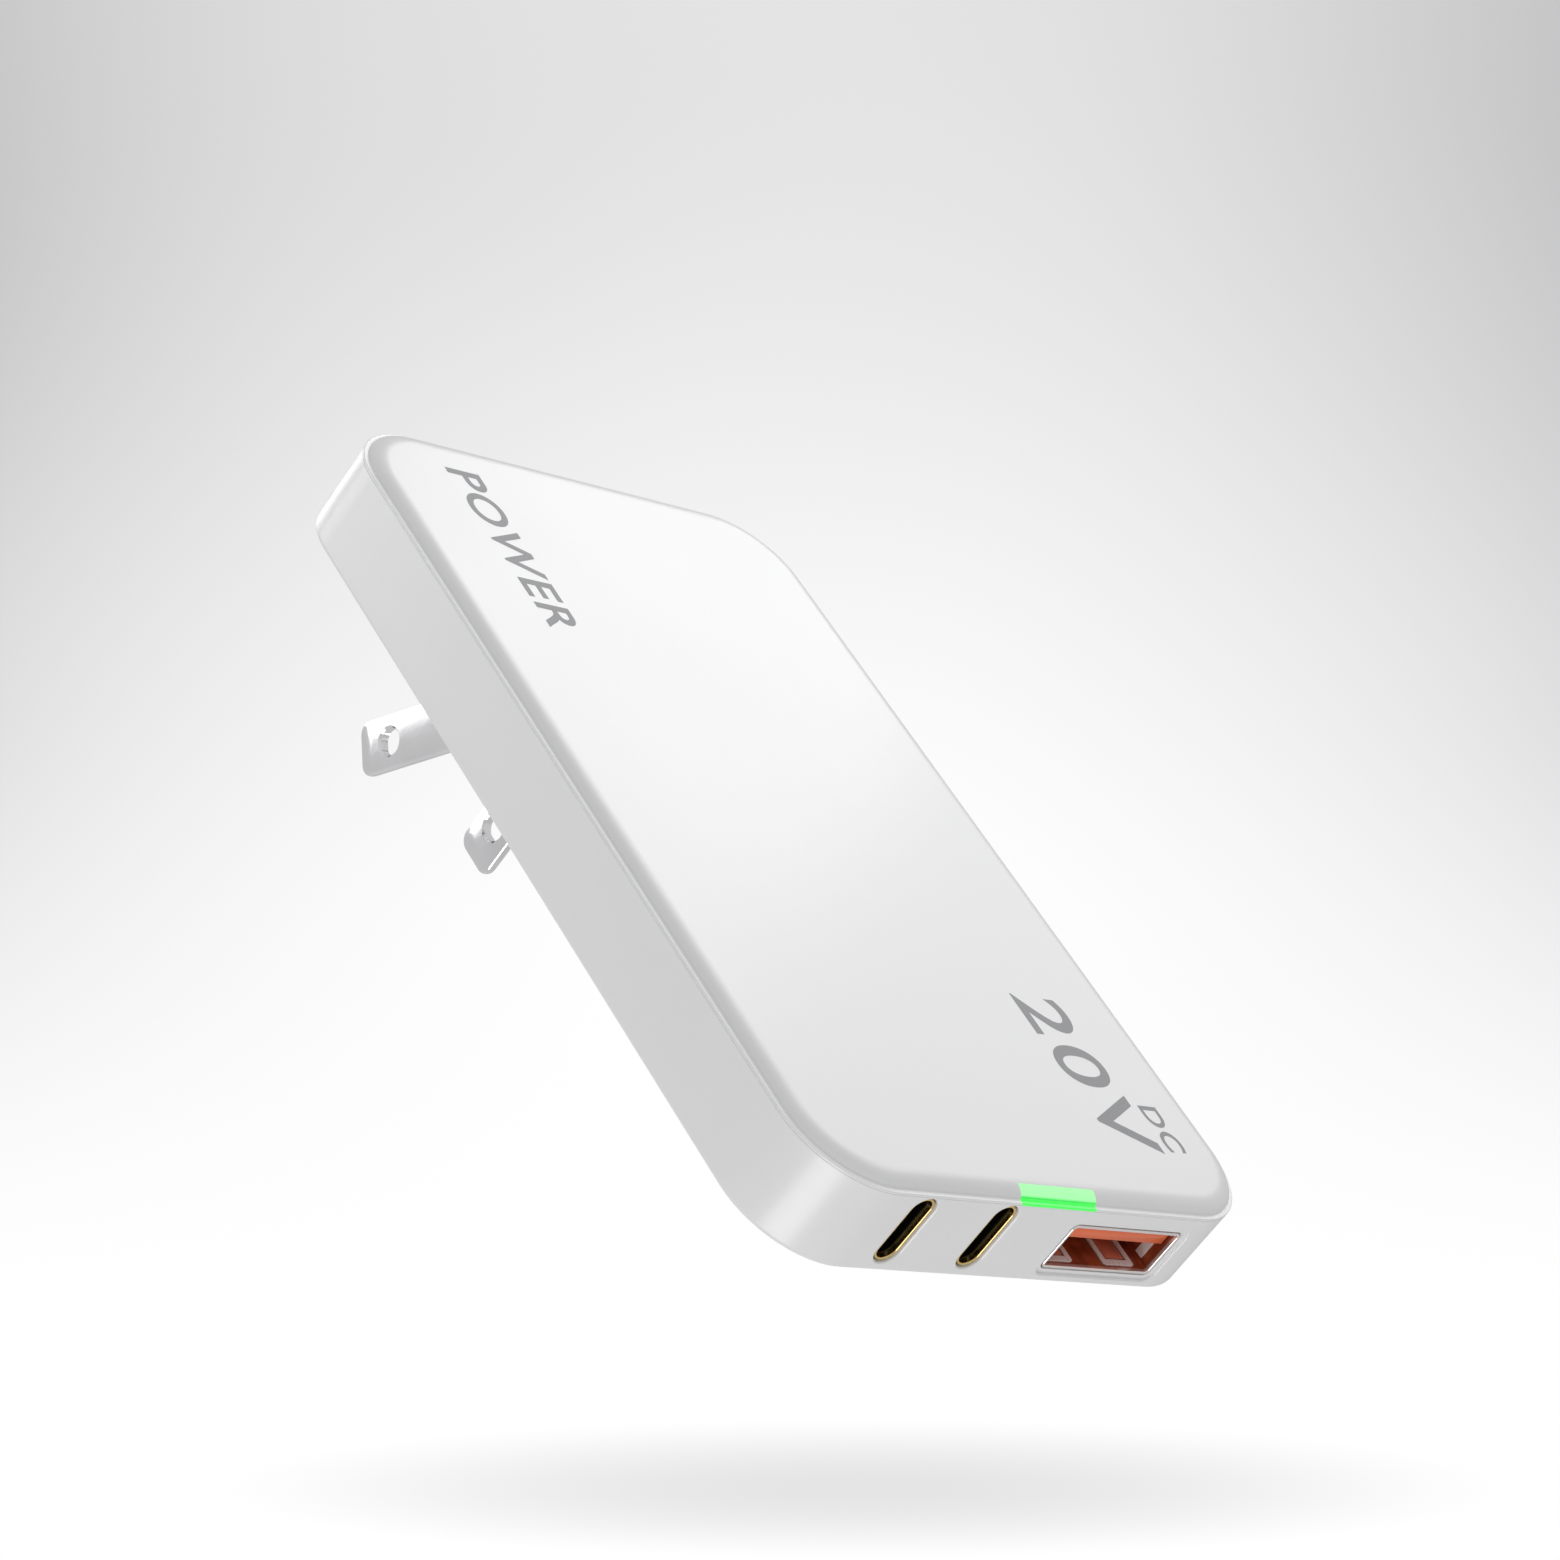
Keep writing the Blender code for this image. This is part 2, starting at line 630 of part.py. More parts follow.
def contact_holder():
    """A plate over the two hub pockets, slotted for the contact springs' tabs."""
    half = CRADLE_WIDTH / 2 - 2 * FIT_GAP
    holder = add_box(
        "contact_holder",
        (PLUG_X - half, CRADLE_LOW + FIT_GAP, HOLDER_LOW),
        (PLUG_X + half, HINGE_Y + POCKET_HALF + CRADLE_END, HOLDER_TOP),
        BLACK,
        CRADLE_CORNER,
    )
    for side, x in PRONG_X.items():
        slot = add_box(
            f"tab_slot_cut_{side}",
            (x - TAB_WIDTH / 2 - FIT_GAP, tab_y() - 2 * FIT_GAP, HOLDER_LOW - 1 * MM),
            (x + TAB_WIDTH / 2 + FIT_GAP, tab_y() + SPRING_THICKNESS + 2 * FIT_GAP, HOLDER_TOP + 1 * MM),
            None,
        )
        cut(holder, slot)


def tab_y():
    """Where a contact spring's tab stands up, near the port end of its pocket."""
    return HINGE_Y - POCKET_HALF + 0.6 * MM


def contact_spring(side):
    """A flat spring over the hub, whose end is bent up into a solder tab."""
    x = PRONG_X[side]
    low = HOLDER_LOW - FIT_GAP - SPRING_THICKNESS
    spring = add_box(
        f"contact_spring_{side}",
        (x - SPRING_WIDTH / 2, tab_y(), low),
        (x + SPRING_WIDTH / 2, HINGE_Y + POCKET_HALF - FIT_GAP, low + SPRING_THICKNESS),
        BRONZE,
    )
    tab = add_box(
        f"spring_tab_{side}",
        (x - TAB_WIDTH / 2, tab_y(), low + SPRING_THICKNESS / 2),
        (x + TAB_WIDTH / 2, tab_y() + SPRING_THICKNESS, HOLDER_TOP + 0.8 * MM),
        None,
    )
    join(spring, tab)


def ac_lead(side):
    """An insulated wire from a spring's tab, over the cradle's edge and down to the power board."""
    x, y = PRONG_X[side], tab_y() - 0.3 * MM
    high = HOLDER_TOP + LEAD_RADIUS + 0.1 * MM
    edge = CRADLE_LOW - FLANGE
    low = BOARD_TOP + LEAD_RADIUS + REST_GAP
    route = (
        (x, y, high),
        (x, (y + CRADLE_LOW) / 2, high),
        (x, CRADLE_LOW - 0.6 * MM, high - 0.4 * MM),
        (x, edge - 0.4 * MM, high - 1.8 * MM),
        (x, edge - 1.2 * MM, (high + low) / 2),
        (x, edge - 1.6 * MM, low + 1.2 * MM),
        (x, edge - 2.4 * MM, low + 0.3 * MM),
        (x, edge - 3.6 * MM, low),
    )
    add_wire(f"ac_lead_{side}", route, LEAD_RADIUS, LEAD)


# Ports and the status light


def usb_c_port(number, x):
    """A gold shell standing on its narrow side, and the black insulator with its tongue."""
    place = Matrix.Translation((x, (PORT_MOUTH + PORT_BACK) / 2, USB_C_Z)) @ Matrix.Rotation(math.radians(90), 4, "X")
    wide, high, wall = USB_C_WIDTH, USB_C_HEIGHT, USB_C_WALL
    outer = rounded_outline(wide, high, wide / 2, 6)
    inner = rounded_outline(wide - 2 * wall, high - 2 * wall, wide / 2 - wall, 6)
    add_outline(f"usb_c_shell_{number}", [outer, inner], PORT_BACK - PORT_MOUTH, place, GOLD)

    fit = wall + FIT_GAP
    block = rounded_outline(wide - 2 * fit, high - 2 * fit, wide / 2 - fit, 6)
    at = Matrix.Translation((x, PORT_BACK - PORT_BLOCK / 2, USB_C_Z)) @ Matrix.Rotation(math.radians(90), 4, "X")
    base = as_mesh(add_outline(f"usb_c_tongue_{number}", [block], PORT_BLOCK, at, BLACK))
    half, tall = USB_C_TONGUE_THICKNESS / 2, USB_C_TONGUE_HEIGHT / 2
    tongue = add_box(
        f"usb_c_tongue_blade_{number}",
        (x - half, PORT_MOUTH + USB_C_TONGUE_SETBACK, USB_C_Z - tall),
        (x + half, PORT_BACK - PORT_BLOCK / 2, USB_C_Z + tall),
        None,
    )
    join(base, tongue)


def usb_a_port():
    """A steel shell, the orange insulator whose tongue lies along the upper side, and its four contacts."""
    turn = Matrix.Rotation(math.radians(90), 4, "X")
    wide, high, wall = USB_A_WIDTH, USB_A_HEIGHT, USB_A_WALL
    outer = rounded_outline(wide, high, USB_A_CORNER, 4)
    inner = rounded_outline(wide - 2 * wall, high - 2 * wall, USB_A_CORNER - wall, 4)
    place = Matrix.Translation((USB_A_X, (PORT_MOUTH + PORT_BACK) / 2, USB_A_Z)) @ turn
    add_outline("usb_a_shell", [outer, inner], PORT_BACK - PORT_MOUTH, place, STEEL)

    fit = wall + FIT_GAP
    half, top = wide / 2 - fit, USB_A_Z + high / 2 - fit
    insulator = add_box(
        "usb_a_tongue",
        (USB_A_X - half, PORT_BACK - PORT_BLOCK, USB_A_Z - high / 2 + fit),
        (USB_A_X + half, PORT_BACK, top),
        ORANGE,
    )
    tongue = add_box(
        "usb_a_tongue_blade",
        (USB_A_X - half, PORT_MOUTH + USB_A_TONGUE_SETBACK, top - USB_A_TONGUE_THICKNESS),
        (USB_A_X + half, PORT_BACK - PORT_BLOCK / 2, top),
        None,
    )
    join(insulator, tongue)
    under = top - USB_A_TONGUE_THICKNESS - 0.1 * MM
    pitch = USB_A_CONTACT_SPAN / 3
    for k in range(4):
        x = USB_A_X - USB_A_CONTACT_SPAN / 2 + pitch * k
        add_box(
            f"usb_a_contact_{k + 1}",
            (x - USB_A_CONTACT_WIDTH / 2, PORT_MOUTH + 2 * USB_A_TONGUE_SETBACK, under - USB_A_CONTACT_THICKNESS),
            (x + USB_A_CONTACT_WIDTH / 2, PORT_BACK - PORT_BLOCK - FIT_GAP, under),
            GOLD,
        )


def status_led():
    width, depth, height = LED_SIZE
    top = COVER_BASE - 2 * FIT_GAP
    add_box(
        "status_led",
        (-width / 2, PORT_BACK - depth, top - height),
        (width / 2, PORT_BACK, top),
        LIGHT,
    )


# Electronics


def board_outline():
    """The power board: chamfered far corners, and a bay on the left side that clears the prong cradle."""
    x, far = INSIDE_X - BOARD_MARGIN, INSIDE_Y - BOARD_MARGIN
    c = BOARD_CORNER
    bay = FLANGE + 1 * MM
    bay_x = PLUG_X + CRADLE_WIDTH / 2 + bay
    low, high = CRADLE_LOW - bay, CRADLE_HIGH + bay
    return [
        (-x, BOARD_FRONT), (x, BOARD_FRONT), (x, far - c), (x - c, far),
        (c - x, far), (-x, far - c), (-x, high), (bay_x, high), (bay_x, low), (-x, low),
    ]


def boards():
    place = Matrix.Translation((0, 0, BOARD_BOTTOM + BOARD_THICKNESS / 2))
    add_outline("power_board", [board_outline()], BOARD_THICKNESS, place, BOARD)
    half = PORT_BOARD_WIDTH / 2
    add_box(
        "port_board",
        (-half, PORT_BOARD_FRONT, WALL + FIT_GAP),
        (half, PORT_BOARD_BACK, COVER_BASE - FIT_GAP),
        BOARD,
    )
    left = PLUG_X + CRADLE_WIDTH / 2 + FLANGE + 2 * MM
    right = INSIDE_X - 7 * MM
    low, high = BOARD_FRONT + 6 * MM, INSIDE_Y - 9 * MM
    floor = WALL + SHEET_GAP
    add_box("heat_spreader", (left, low, floor), (right, high, floor + SPREADER_THICKNESS), ALUMINIUM)
    floor += SPREADER_THICKNESS + SHEET_GAP
    add_box("insulation_sheet", (left, low, floor), (right, high, floor + INSULATION_THICKNESS), AMBER)


def can_profile(radius, length):
    """A capacitor can with a crimped groove near its sealed end."""
    groove = 0.8 * MM
    crimp = 0.35 * MM
    return [
        (0.0, length),
        (radius - 0.4 * MM, length),
        (radius, length - 0.4 * MM),
        (radius, 2.5 * groove),
        (radius - crimp, 2 * groove),
        (radius, 1.5 * groove),
        (radius, 0.3 * MM),
        (radius - 0.3 * MM, 0.0),
        (0.0, 0.0),
    ]


def bulk_capacitors():
    """Five cans side by side at the right of the board, and one across its far end."""
    radius, length, pitch = 3.0 * MM, 24.0 * MM, 6.5 * MM
    z = BOARD_TOP + REST_GAP + radius
    first, low = INSIDE_X - 1.5 * MM - radius, HINGE_Y + 1 * MM
    for k in range(5):
        x = first - pitch * k
        add_turned(f"bulk_capacitor_{k + 1}", can_profile(radius, length), (x, low, z), (x, low + length, z), FOIL)
    y = INSIDE_Y - 2.2 * MM - radius
    start = -INSIDE_X + 7 * MM
    add_turned("bulk_capacitor_6", can_profile(radius, length), (start, y, z), (start + length, y, z), FOIL)


def mains_input():
    """Fuse, surge thermistor, filter capacitor and bridge rectifier, between the leads and the choke."""
    z = BOARD_TOP + REST_GAP
    radius = 1.8 * MM
    y = CRADLE_LOW - FLANGE - 9 * MM
    add_cylinder(
        "fuse", radius, (PLUG_X - 4 * MM, y, z + radius), (PLUG_X + 5 * MM, y, z + radius), CERAMIC
    )
    add_cylinder("surge_thermistor", 3.2 * MM, (-8 * MM, y, z), (-8 * MM, y, z + 3 * MM), BLACK)
    add_block("filter_capacitor", (PLUG_X - 1 * MM, y - 7 * MM), (13 * MM, 7 * MM, 6 * MM), YELLOW)
    add_block("bridge_rectifier", (PLUG_X - 1 * MM, y - 17 * MM), (10 * MM, 8 * MM, 2.4 * MM), BLACK)


def choke():
    """A ferrite ring lying on the board, with a winding on each half."""
    centre = Vector((-7.5 * MM, -12 * MM, BOARD_TOP + REST_GAP + 2.1 * MM))
    ring, core, winding = 4.4 * MM, 1.4 * MM, 2.0 * MM
    for name, radius in (("choke_core", core), ("choke_core_cut", core + FIT_GAP)):
        bpy.ops.mesh.primitive_torus_add(
            major_radius=ring, minor_radius=radius, major_segments=24, minor_segments=10, location=centre
        )
        made = bpy.context.object
        mesh = made.data
        bpy.data.objects.remove(made)
        mesh.shade_smooth()
        obj = add_object(name, mesh, FERRITE if name == "choke_core" else None)
        obj.location = centre
    hole = bpy.data.objects["choke_core_cut"]
    for side, start in (("left", 110), ("right", -70)):
        points = [(*p, 0.0) for p in arc((0, 0), ring, start, start + 140, 12)]
        wire = add_wire(f"choke_winding_{side}", points, winding, COPPER)
        wire.location = centre
        cut(as_mesh(wire), hole)


def transformer():
    """Two flat ferrite halves round a taped winding."""
    x, y, width, length = 16.0 * MM, -5.0 * MM, 26.0 * MM, 19.0 * MM
    z = BOARD_TOP + REST_GAP
    plate, middle = 1.7 * MM, 2.4 * MM
    leg = 2.6 * MM
    joint = z + plate + middle / 2
    for name, low, high, leg_low, leg_high in (
        ("transformer_core_lower", z, z + plate, z + plate / 2, joint - 0.1 * MM),
        ("transformer_core_upper", z + plate + middle, z + 2 * plate + middle, joint + 0.1 * MM,
         z + 1.5 * plate + middle),
    ):
        half, deep = width / 2, length / 2 - 2 * MM
        core = add_box(name, (x - half, y - deep, low), (x + half, y + deep, high), FERRITE, 0.6 * MM, 2, 2)
        for k, direction in enumerate((-1, 1)):
            outer, inner = x + direction * (half - 0.1 * MM), x + direction * (half - leg)
            leg_box = add_box(
                f"{name}_leg_{k}",
                (min(outer, inner), y - deep + 0.1 * MM, leg_low),
                (max(outer, inner), y + deep - 0.1 * MM, leg_high),
                None,
            )
            join(core, leg_box)
    inside = width / 2 - leg - TURN_GAP
    add_box(
        "transformer_winding",
        (x - inside, y - length / 2, z + plate + FIT_GAP),
        (x + inside, y + length / 2, z + plate + middle - FIT_GAP),
        YELLOW,
        3 * MM,
        2,
        4,
    )


def chips_and_output():
    """Power switch, controllers, isolators, rectifier, output capacitors and the ports' inductors."""
    chips = {
        "power_switch": ((-6.6 * MM, HINGE_Y + 18 * MM), (8 * MM, 8 * MM, 0.9 * MM)),
        "primary_controller": ((-6.6 * MM, HINGE_Y + 4 * MM), (6 * MM, 8 * MM, 1.5 * MM)),
        "optocoupler": ((0.0, BOARD_FRONT + 21.8 * MM), (4.4 * MM, 6.8 * MM, 2.2 * MM)),
        "output_rectifier": ((7.5 * MM, BOARD_FRONT + 26.3 * MM), (5 * MM, 6 * MM, 1.1 * MM)),
    }
    for name, (centre, size) in chips.items():
        add_block(name, centre, size, BLACK)
    z = BOARD_TOP + REST_GAP
    x, y = -9 * MM, BOARD_FRONT + 21.8 * MM
    add_cylinder("isolation_capacitor", 3.4 * MM, (x, y, z), (x, y, z + 3.4 * MM), BLUE)
    radius, height, pitch = 3.15 * MM, 5.8 * MM, 7.2 * MM
    for k in range(4):
        x, y = 17 * MM + pitch * (k % 2), BOARD_FRONT + 25.8 * MM - pitch * (k // 2)
        add_turned(
            f"output_capacitor_{k + 1}", can_profile(radius, height), (x, y, z), (x, y, z + height), ALUMINIUM
        )
    for k, x in enumerate((-24 * MM, -13 * MM, 4 * MM), 1):
        add_block(f"output_inductor_{k}", (x, BOARD_FRONT + 11.8 * MM), (7.5 * MM, 7.5 * MM, 4 * MM), FERRITE, 1 * MM)
    low = BOARD_TOP + 1 * MM
    back = PORT_BOARD_BACK + REST_GAP
    for k, x in enumerate((*USB_C_X, USB_A_X), 1):
        add_box(
            f"port_controller_{k}",
            (x - 2.2 * MM, back, low),
            (x + 2.2 * MM, back + 0.8 * MM, low + 4.4 * MM),
            BLACK,
        )


clear_scene()
PARTS = new_collection("power_adapter")
CUTTERS = new_collection("power_adapter_cutters")

WHITE = new_material("white_plastic", (0.86, 0.86, 0.86), 0.35)
GREY = new_material("hub_plastic", (0.75, 0.75, 0.75), 0.4)
BLACK = new_material("black_plastic", (0.02, 0.02, 0.02), 0.45)
ORANGE = new_material("orange_plastic", (0.75, 0.16, 0.05), 0.4)
LIGHT = new_material("light_pipe", (0.25, 0.95, 0.35), 0.3)
METAL = new_material("nickel_plate", (0.75, 0.75, 0.76), 0.15, 1.0)
STEEL = new_material("steel", (0.62, 0.62, 0.63), 0.3, 1.0)
GOLD = new_material("gold_plate", (0.83, 0.62, 0.25), 0.25, 1.0)
BRONZE = new_material("spring_bronze", (0.72, 0.47, 0.25), 0.3, 1.0)
COPPER = new_material("copper_wire", (0.72, 0.35, 0.2), 0.35, 1.0)
ALUMINIUM = new_material("aluminium", (0.8, 0.8, 0.81), 0.35, 1.0)
FOIL = new_material("capacitor_sleeve", (0.08, 0.1, 0.2), 0.4)
FERRITE = new_material("ferrite", (0.09, 0.09, 0.1), 0.6)
YELLOW = new_material("yellow_film", (0.85, 0.65, 0.12), 0.45)
AMBER = new_material("insulating_film", (0.8, 0.5, 0.1), 0.4)
BLUE = new_material("blue_coating", (0.1, 0.25, 0.6), 0.4)
CERAMIC = new_material("fuse_body", (0.8, 0.77, 0.7), 0.5)
LEAD = new_material("lead_insulation", (0.05, 0.05, 0.05), 0.5)
BOARD = new_material("circuit_board", (0.03, 0.22, 0.1), 0.5)

rear_housing()
front_cover()
led_light_bar()
prong_cradle()
hinge_pin()
contact_holder()
for prong_side in ("left", "right"):
    prong(prong_side)
    contact_spring(prong_side)
    ac_lead(prong_side)
for port_number, port_x in enumerate(USB_C_X, 1):
    usb_c_port(port_number, port_x)
usb_a_port()
status_led()
boards()
mains_input()
choke()
bulk_capacitors()
transformer()
chips_and_output()
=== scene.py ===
"""Looks for a slim wall power adapter: white casing, folding prongs, ports, status light and marks."""

import json
import math

import bpy
import numpy as np
from bpy.props import FloatProperty, FloatVectorProperty, PointerProperty, StringProperty
from mathutils import Euler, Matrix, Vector


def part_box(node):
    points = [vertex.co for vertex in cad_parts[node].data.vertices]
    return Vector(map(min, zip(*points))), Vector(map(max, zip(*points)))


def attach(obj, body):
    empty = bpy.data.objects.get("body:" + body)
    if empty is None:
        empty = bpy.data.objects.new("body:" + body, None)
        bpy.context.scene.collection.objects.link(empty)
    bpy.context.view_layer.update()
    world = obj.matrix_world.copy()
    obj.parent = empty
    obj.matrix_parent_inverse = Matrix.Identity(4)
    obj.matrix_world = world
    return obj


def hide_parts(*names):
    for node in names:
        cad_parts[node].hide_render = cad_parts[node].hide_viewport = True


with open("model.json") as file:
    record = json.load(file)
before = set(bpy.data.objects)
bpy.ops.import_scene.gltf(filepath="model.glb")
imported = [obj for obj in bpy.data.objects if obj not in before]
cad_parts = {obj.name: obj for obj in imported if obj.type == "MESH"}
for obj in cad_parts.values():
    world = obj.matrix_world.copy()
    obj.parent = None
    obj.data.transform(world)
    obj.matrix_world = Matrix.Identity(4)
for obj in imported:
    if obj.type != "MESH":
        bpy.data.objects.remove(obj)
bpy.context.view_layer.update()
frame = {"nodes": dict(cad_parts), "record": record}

bl_info = {
    "name": "Wall Power Adapter",
    "version": (1, 0, 0),
    "blender": (4, 5, 0),
    "location": "View3D > Sidebar > Adapter",
    "description": "Builds the casing, prongs, ports, light and marks of a slim wall power adapter",
    "category": "Add Mesh",
}

MM = 0.001
LEAST_RADIUS = 0.02 * MM  # of an outline drawn in past its own corner radius
FAR = 1.0  # well past the part, for a cutter without an end
SMOOTH_ANGLE = 32  # degrees: a sharper edge than this stays an edge
BODY_LOW, BODY_HIGH = map(np.array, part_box("front_cover"))
HOUSING_LOW, HOUSING_HIGH = map(np.array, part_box("rear_housing"))
HINGES = {joint["child"]: joint for joint in frame["record"]["behaviour"]["joints"]}


# Settings


def length_setting(name, description, millimetres):
    """A length, given here in millimetres and kept in metres."""
    return FloatProperty(name=name, description=description, default=millimetres * MM, unit="LENGTH")


def colour_setting(name, description, tone):
    return FloatVectorProperty(name=name, description=description, default=tone, subtype="COLOR")


class CasingSettings(bpy.types.PropertyGroup):
    corner_radius: length_setting("Corner radius", "Plan radius of the four corners", 10.6)
    wall: length_setting("Wall", "Thickness of the tray's walls", 1.2)
    back_radius: length_setting("Back edge radius", "Rounding round the back face", 0.7)
    ledge: length_setting("Ledge", "Width of the fine flat line round the cover", 0.55)
    ledge_height: length_setting("Ledge height", "Height of that line above the seam", 0.12)
    seam_gap: length_setting("Seam gap", "Hair line between the tray and the cover", 0.02)
    seam_height: length_setting("Seam height", "Underside of the cover above the back", 11.0)
    pillow_band: length_setting("Pillow band", "How far in from the rim the cover swells", 2.9)
    pillow_power: FloatProperty(
        name="Pillow power",
        description="How squarely the swell leaves the ledge",
        default=2.0,
        min=1.0,
        max=6.0,
    )
    skirt_depth: length_setting("Skirt depth", "How far the cover's skirt drops", 1.6)
    white: colour_setting("White", "Colour of the casing", (0.86, 0.86, 0.865))


class ProngSettings(bpy.types.PropertyGroup):
    width: length_setting("Width", "Width of a blade", 6.35)
    thickness: length_setting("Thickness", "Thickness of a blade", 1.5)
    length: length_setting("Length", "From the hinge axis to the tip", 20.575)
    neck_width: length_setting("Neck width", "Width inside the hub", 4.0)
    neck_end: length_setting("Neck end", "How far the neck stands past the axis", 3.6)
    shoulder: length_setting("Shoulder", "From the hinge axis to the blade's full width", 3.575)
    hole_radius: length_setting("Hole radius", "Radius of the tip hole", 1.6)
    hole_distance: length_setting("Hole distance", "From the hinge axis to the hole", 15.475)
    tip_radius: length_setting("Tip radius", "Rounding of the tip", 1.5)
    edge_radius: length_setting("Edge radius", "Rounding of the edges", 0.45)
    crown: length_setting("Crown", "How much thinner a blade is at its edges", 0.13)
    nickel: colour_setting("Nickel", "Colour of the plating", (0.9, 0.9, 0.91))


class PortSettings(bpy.types.PropertyGroup):
    gap: length_setting("Gap", "Gap round a port's shell", 0.2)
    mouth_chamfer: length_setting("Mouth chamfer", "Chamfer round each opening", 0.12)
    usb_c_wall: length_setting("USB-C wall", "Thickness of a shell", 0.3)
    usb_a_wall: length_setting("USB-A wall", "Thickness of the shell", 0.35)
    usb_a_corner: length_setting("USB-A corner", "Outer corner radius of the shell", 0.7)
    recess_margin: length_setting("Recess margin", "How far the step reaches past the opening", 0.7)
    recess_depth: length_setting("Recess depth", "Depth of the step round USB-A", 0.35)
    leaf_width: length_setting("Leaf width", "Width of a spring leaf", 5.2)
    leaf_spacing: length_setting("Leaf spacing", "From one leaf on the floor to the other", 10.4)
    leaf_start: length_setting("Leaf start", "From the mouth to the leaves", 0.75)
    gold: colour_setting("Gold", "Colour of the rims", (0.86, 0.64, 0.26))
    orange: colour_setting("Orange", "Colour of the USB-A tongue", (0.85, 0.17, 0.06))


class LightSettings(bpy.types.PropertyGroup):
    depth: length_setting("Depth", "How far in the bar shows", 2.0)
    strip_height: length_setting("Strip height", "Top of the strong green strip above the seam", 0.3)
    heel_depth: length_setting("Heel depth", "How far in the bar reaches under the cover", 2.9)
    heel_height: length_setting("Heel height", "How far the heel stands into the cover", 0.3)
    gap: length_setting("Gap", "Gap round the light bar", 0.06)
    pale: colour_setting("Pale green", "Colour of the bar's upper part", (0.36, 0.98, 0.38))
    strong: colour_setting("Strong green", "Colour of the bar's lower edge", (0.03, 0.86, 0.06))


class MarkSettings(bpy.types.PropertyGroup):
    word: StringProperty(name="Word", description="Word at the far end", default="POWER")
    rating: StringProperty(name="Rating", description="Large mark at the port end", default="20V")
    small: StringProperty(name="Small mark", description="Small mark beside the rating", default="DC")
    ink: colour_setting("Ink", "Colour of the print", (0.33, 0.33, 0.34))
    thickness: length_setting("Thickness", "Thickness of the print", 0.02)


class StageSettings(bpy.types.PropertyGroup):
    camera_place: FloatVectorProperty(
        name="Camera place",
        description="Where the camera stands",
        default=(-0.31858, -0.25066, 0.19203),
        subtype="TRANSLATION",
    )
    camera_turn: FloatVectorProperty(
        name="Camera turn",
        description="The camera's rotation",
        default=(math.radians(60.9385), math.radians(-33.9449), math.radians(-34.1081)),
        subtype="EULER",
    )
    lens: FloatProperty(name="Lens", description="Focal length in millimetres", default=91.91, min=10.0)
    pale: colour_setting("Pale", "Colour of the floor", (0.9, 0.9, 0.9))


SETTINGS = {
    "adapter_casing": CasingSettings,
    "adapter_prongs": ProngSettings,
    "adapter_ports": PortSettings,
    "adapter_light": LightSettings,
    "adapter_marks": MarkSettings,
    "adapter_stage": StageSettings,
}


# Surfaces


def rounded_outline(half_x, half_y, radius, steps=14):
    """A round-cornered rectangle about the origin, as an (n, 2) array.

    Each corner is centre + radius (cos a, sin a) over a quarter turn, and straight sides join the corners.
    """
    angle = np.linspace(0, np.pi / 2, steps + 1) + np.arange(4)[:, None] * np.pi / 2
    sign_x = np.array([1, -1, -1, 1])[:, None]
    sign_y = np.array([1, 1, -1, -1])[:, None]
    x = sign_x * (half_x - radius) + radius * np.cos(angle)
    y = sign_y * (half_y - radius) + radius * np.sin(angle)
    return np.stack([x, y], axis=-1).reshape(-1, 2)


def ring_faces(rings, wrap):
    """Quads between neighbouring rings of an (m, n, 3) array. With wrap, the last ring joins the first."""
    m, n = rings.shape[:2]
    i = np.arange(m if wrap else m - 1)[:, None]
    j = np.arange(n)[None, :]
    after_i, after_j = (i + 1) % m, (j + 1) % n
    corners = (i * n + j, i * n + after_j, after_i * n + after_j, after_i * n + j)
    return np.stack(np.broadcast_arrays(*corners), axis=-1).reshape(-1, 4)


def closed_skin(rings, wrap=False):
    """Points and faces of a closed surface through rings of equal count.

    Without wrap, each end ring is closed by a fan to the mean of its points. The faces are turned round if
    the sum of each triangle's triple product, six times the volume, is negative.
    """
    m, n = rings.shape[:2]
    points = rings.reshape(-1, 3)
    quads = ring_faces(rings, wrap)
    faces = quads.tolist()
    loops = [quads[:, [0, 1, 2]], quads[:, [0, 2, 3]]]
    if not wrap:
        j = np.arange(n)
        after = (j + 1) % n
        first = np.stack([after, j, np.full(n, m * n)], axis=-1)
        last = np.stack([j + (m - 1) * n, after + (m - 1) * n, np.full(n, m * n + 1)], axis=-1)
        points = np.vstack([points, rings[0].mean(axis=0), rings[-1].mean(axis=0)])
        faces += first.tolist() + last.tolist()
        loops += [first, last]
    corners = points[np.vstack(loops)]
    volume = np.einsum("ij,ij->i", corners[:, 0], np.cross(corners[:, 1], corners[:, 2])).sum()
    if volume < 0:
        faces = [face[::-1] for face in faces]
    return points, faces


def plan_skin(half_x, half_y, radius, profile, middle=(0.0, 0.0), steps=14):
    """A profile of (inset, height) pairs carried round a rounded rectangle in plan.

    Each pair is one ring, drawn in by its inset and lifted to its height.
    """
    rings = []
    for inset, height in profile:
        plan = rounded_outline(half_x - inset, half_y - inset, max(radius - inset, LEAST_RADIUS), steps)
        plan = plan + np.array(middle)
        rings.append(np.column_stack([plan, np.full(len(plan), height)]))
    return np.array(rings)


def port_rings(half_x, half_z, radius, profile, middle, steps=10):
    """Like plan_skin, but round an opening in the end wall: the pairs are (inset, y)."""
    rings = []
    for inset, depth in profile:
        plan = rounded_outline(half_x - inset, half_z - inset, max(radius - inset, LEAST_RADIUS), steps)
        x, z = plan[:, 0] + middle[0], plan[:, 1] + middle[1]
        rings.append(np.column_stack([x, np.full(len(plan), depth), z]))
    return np.array(rings)


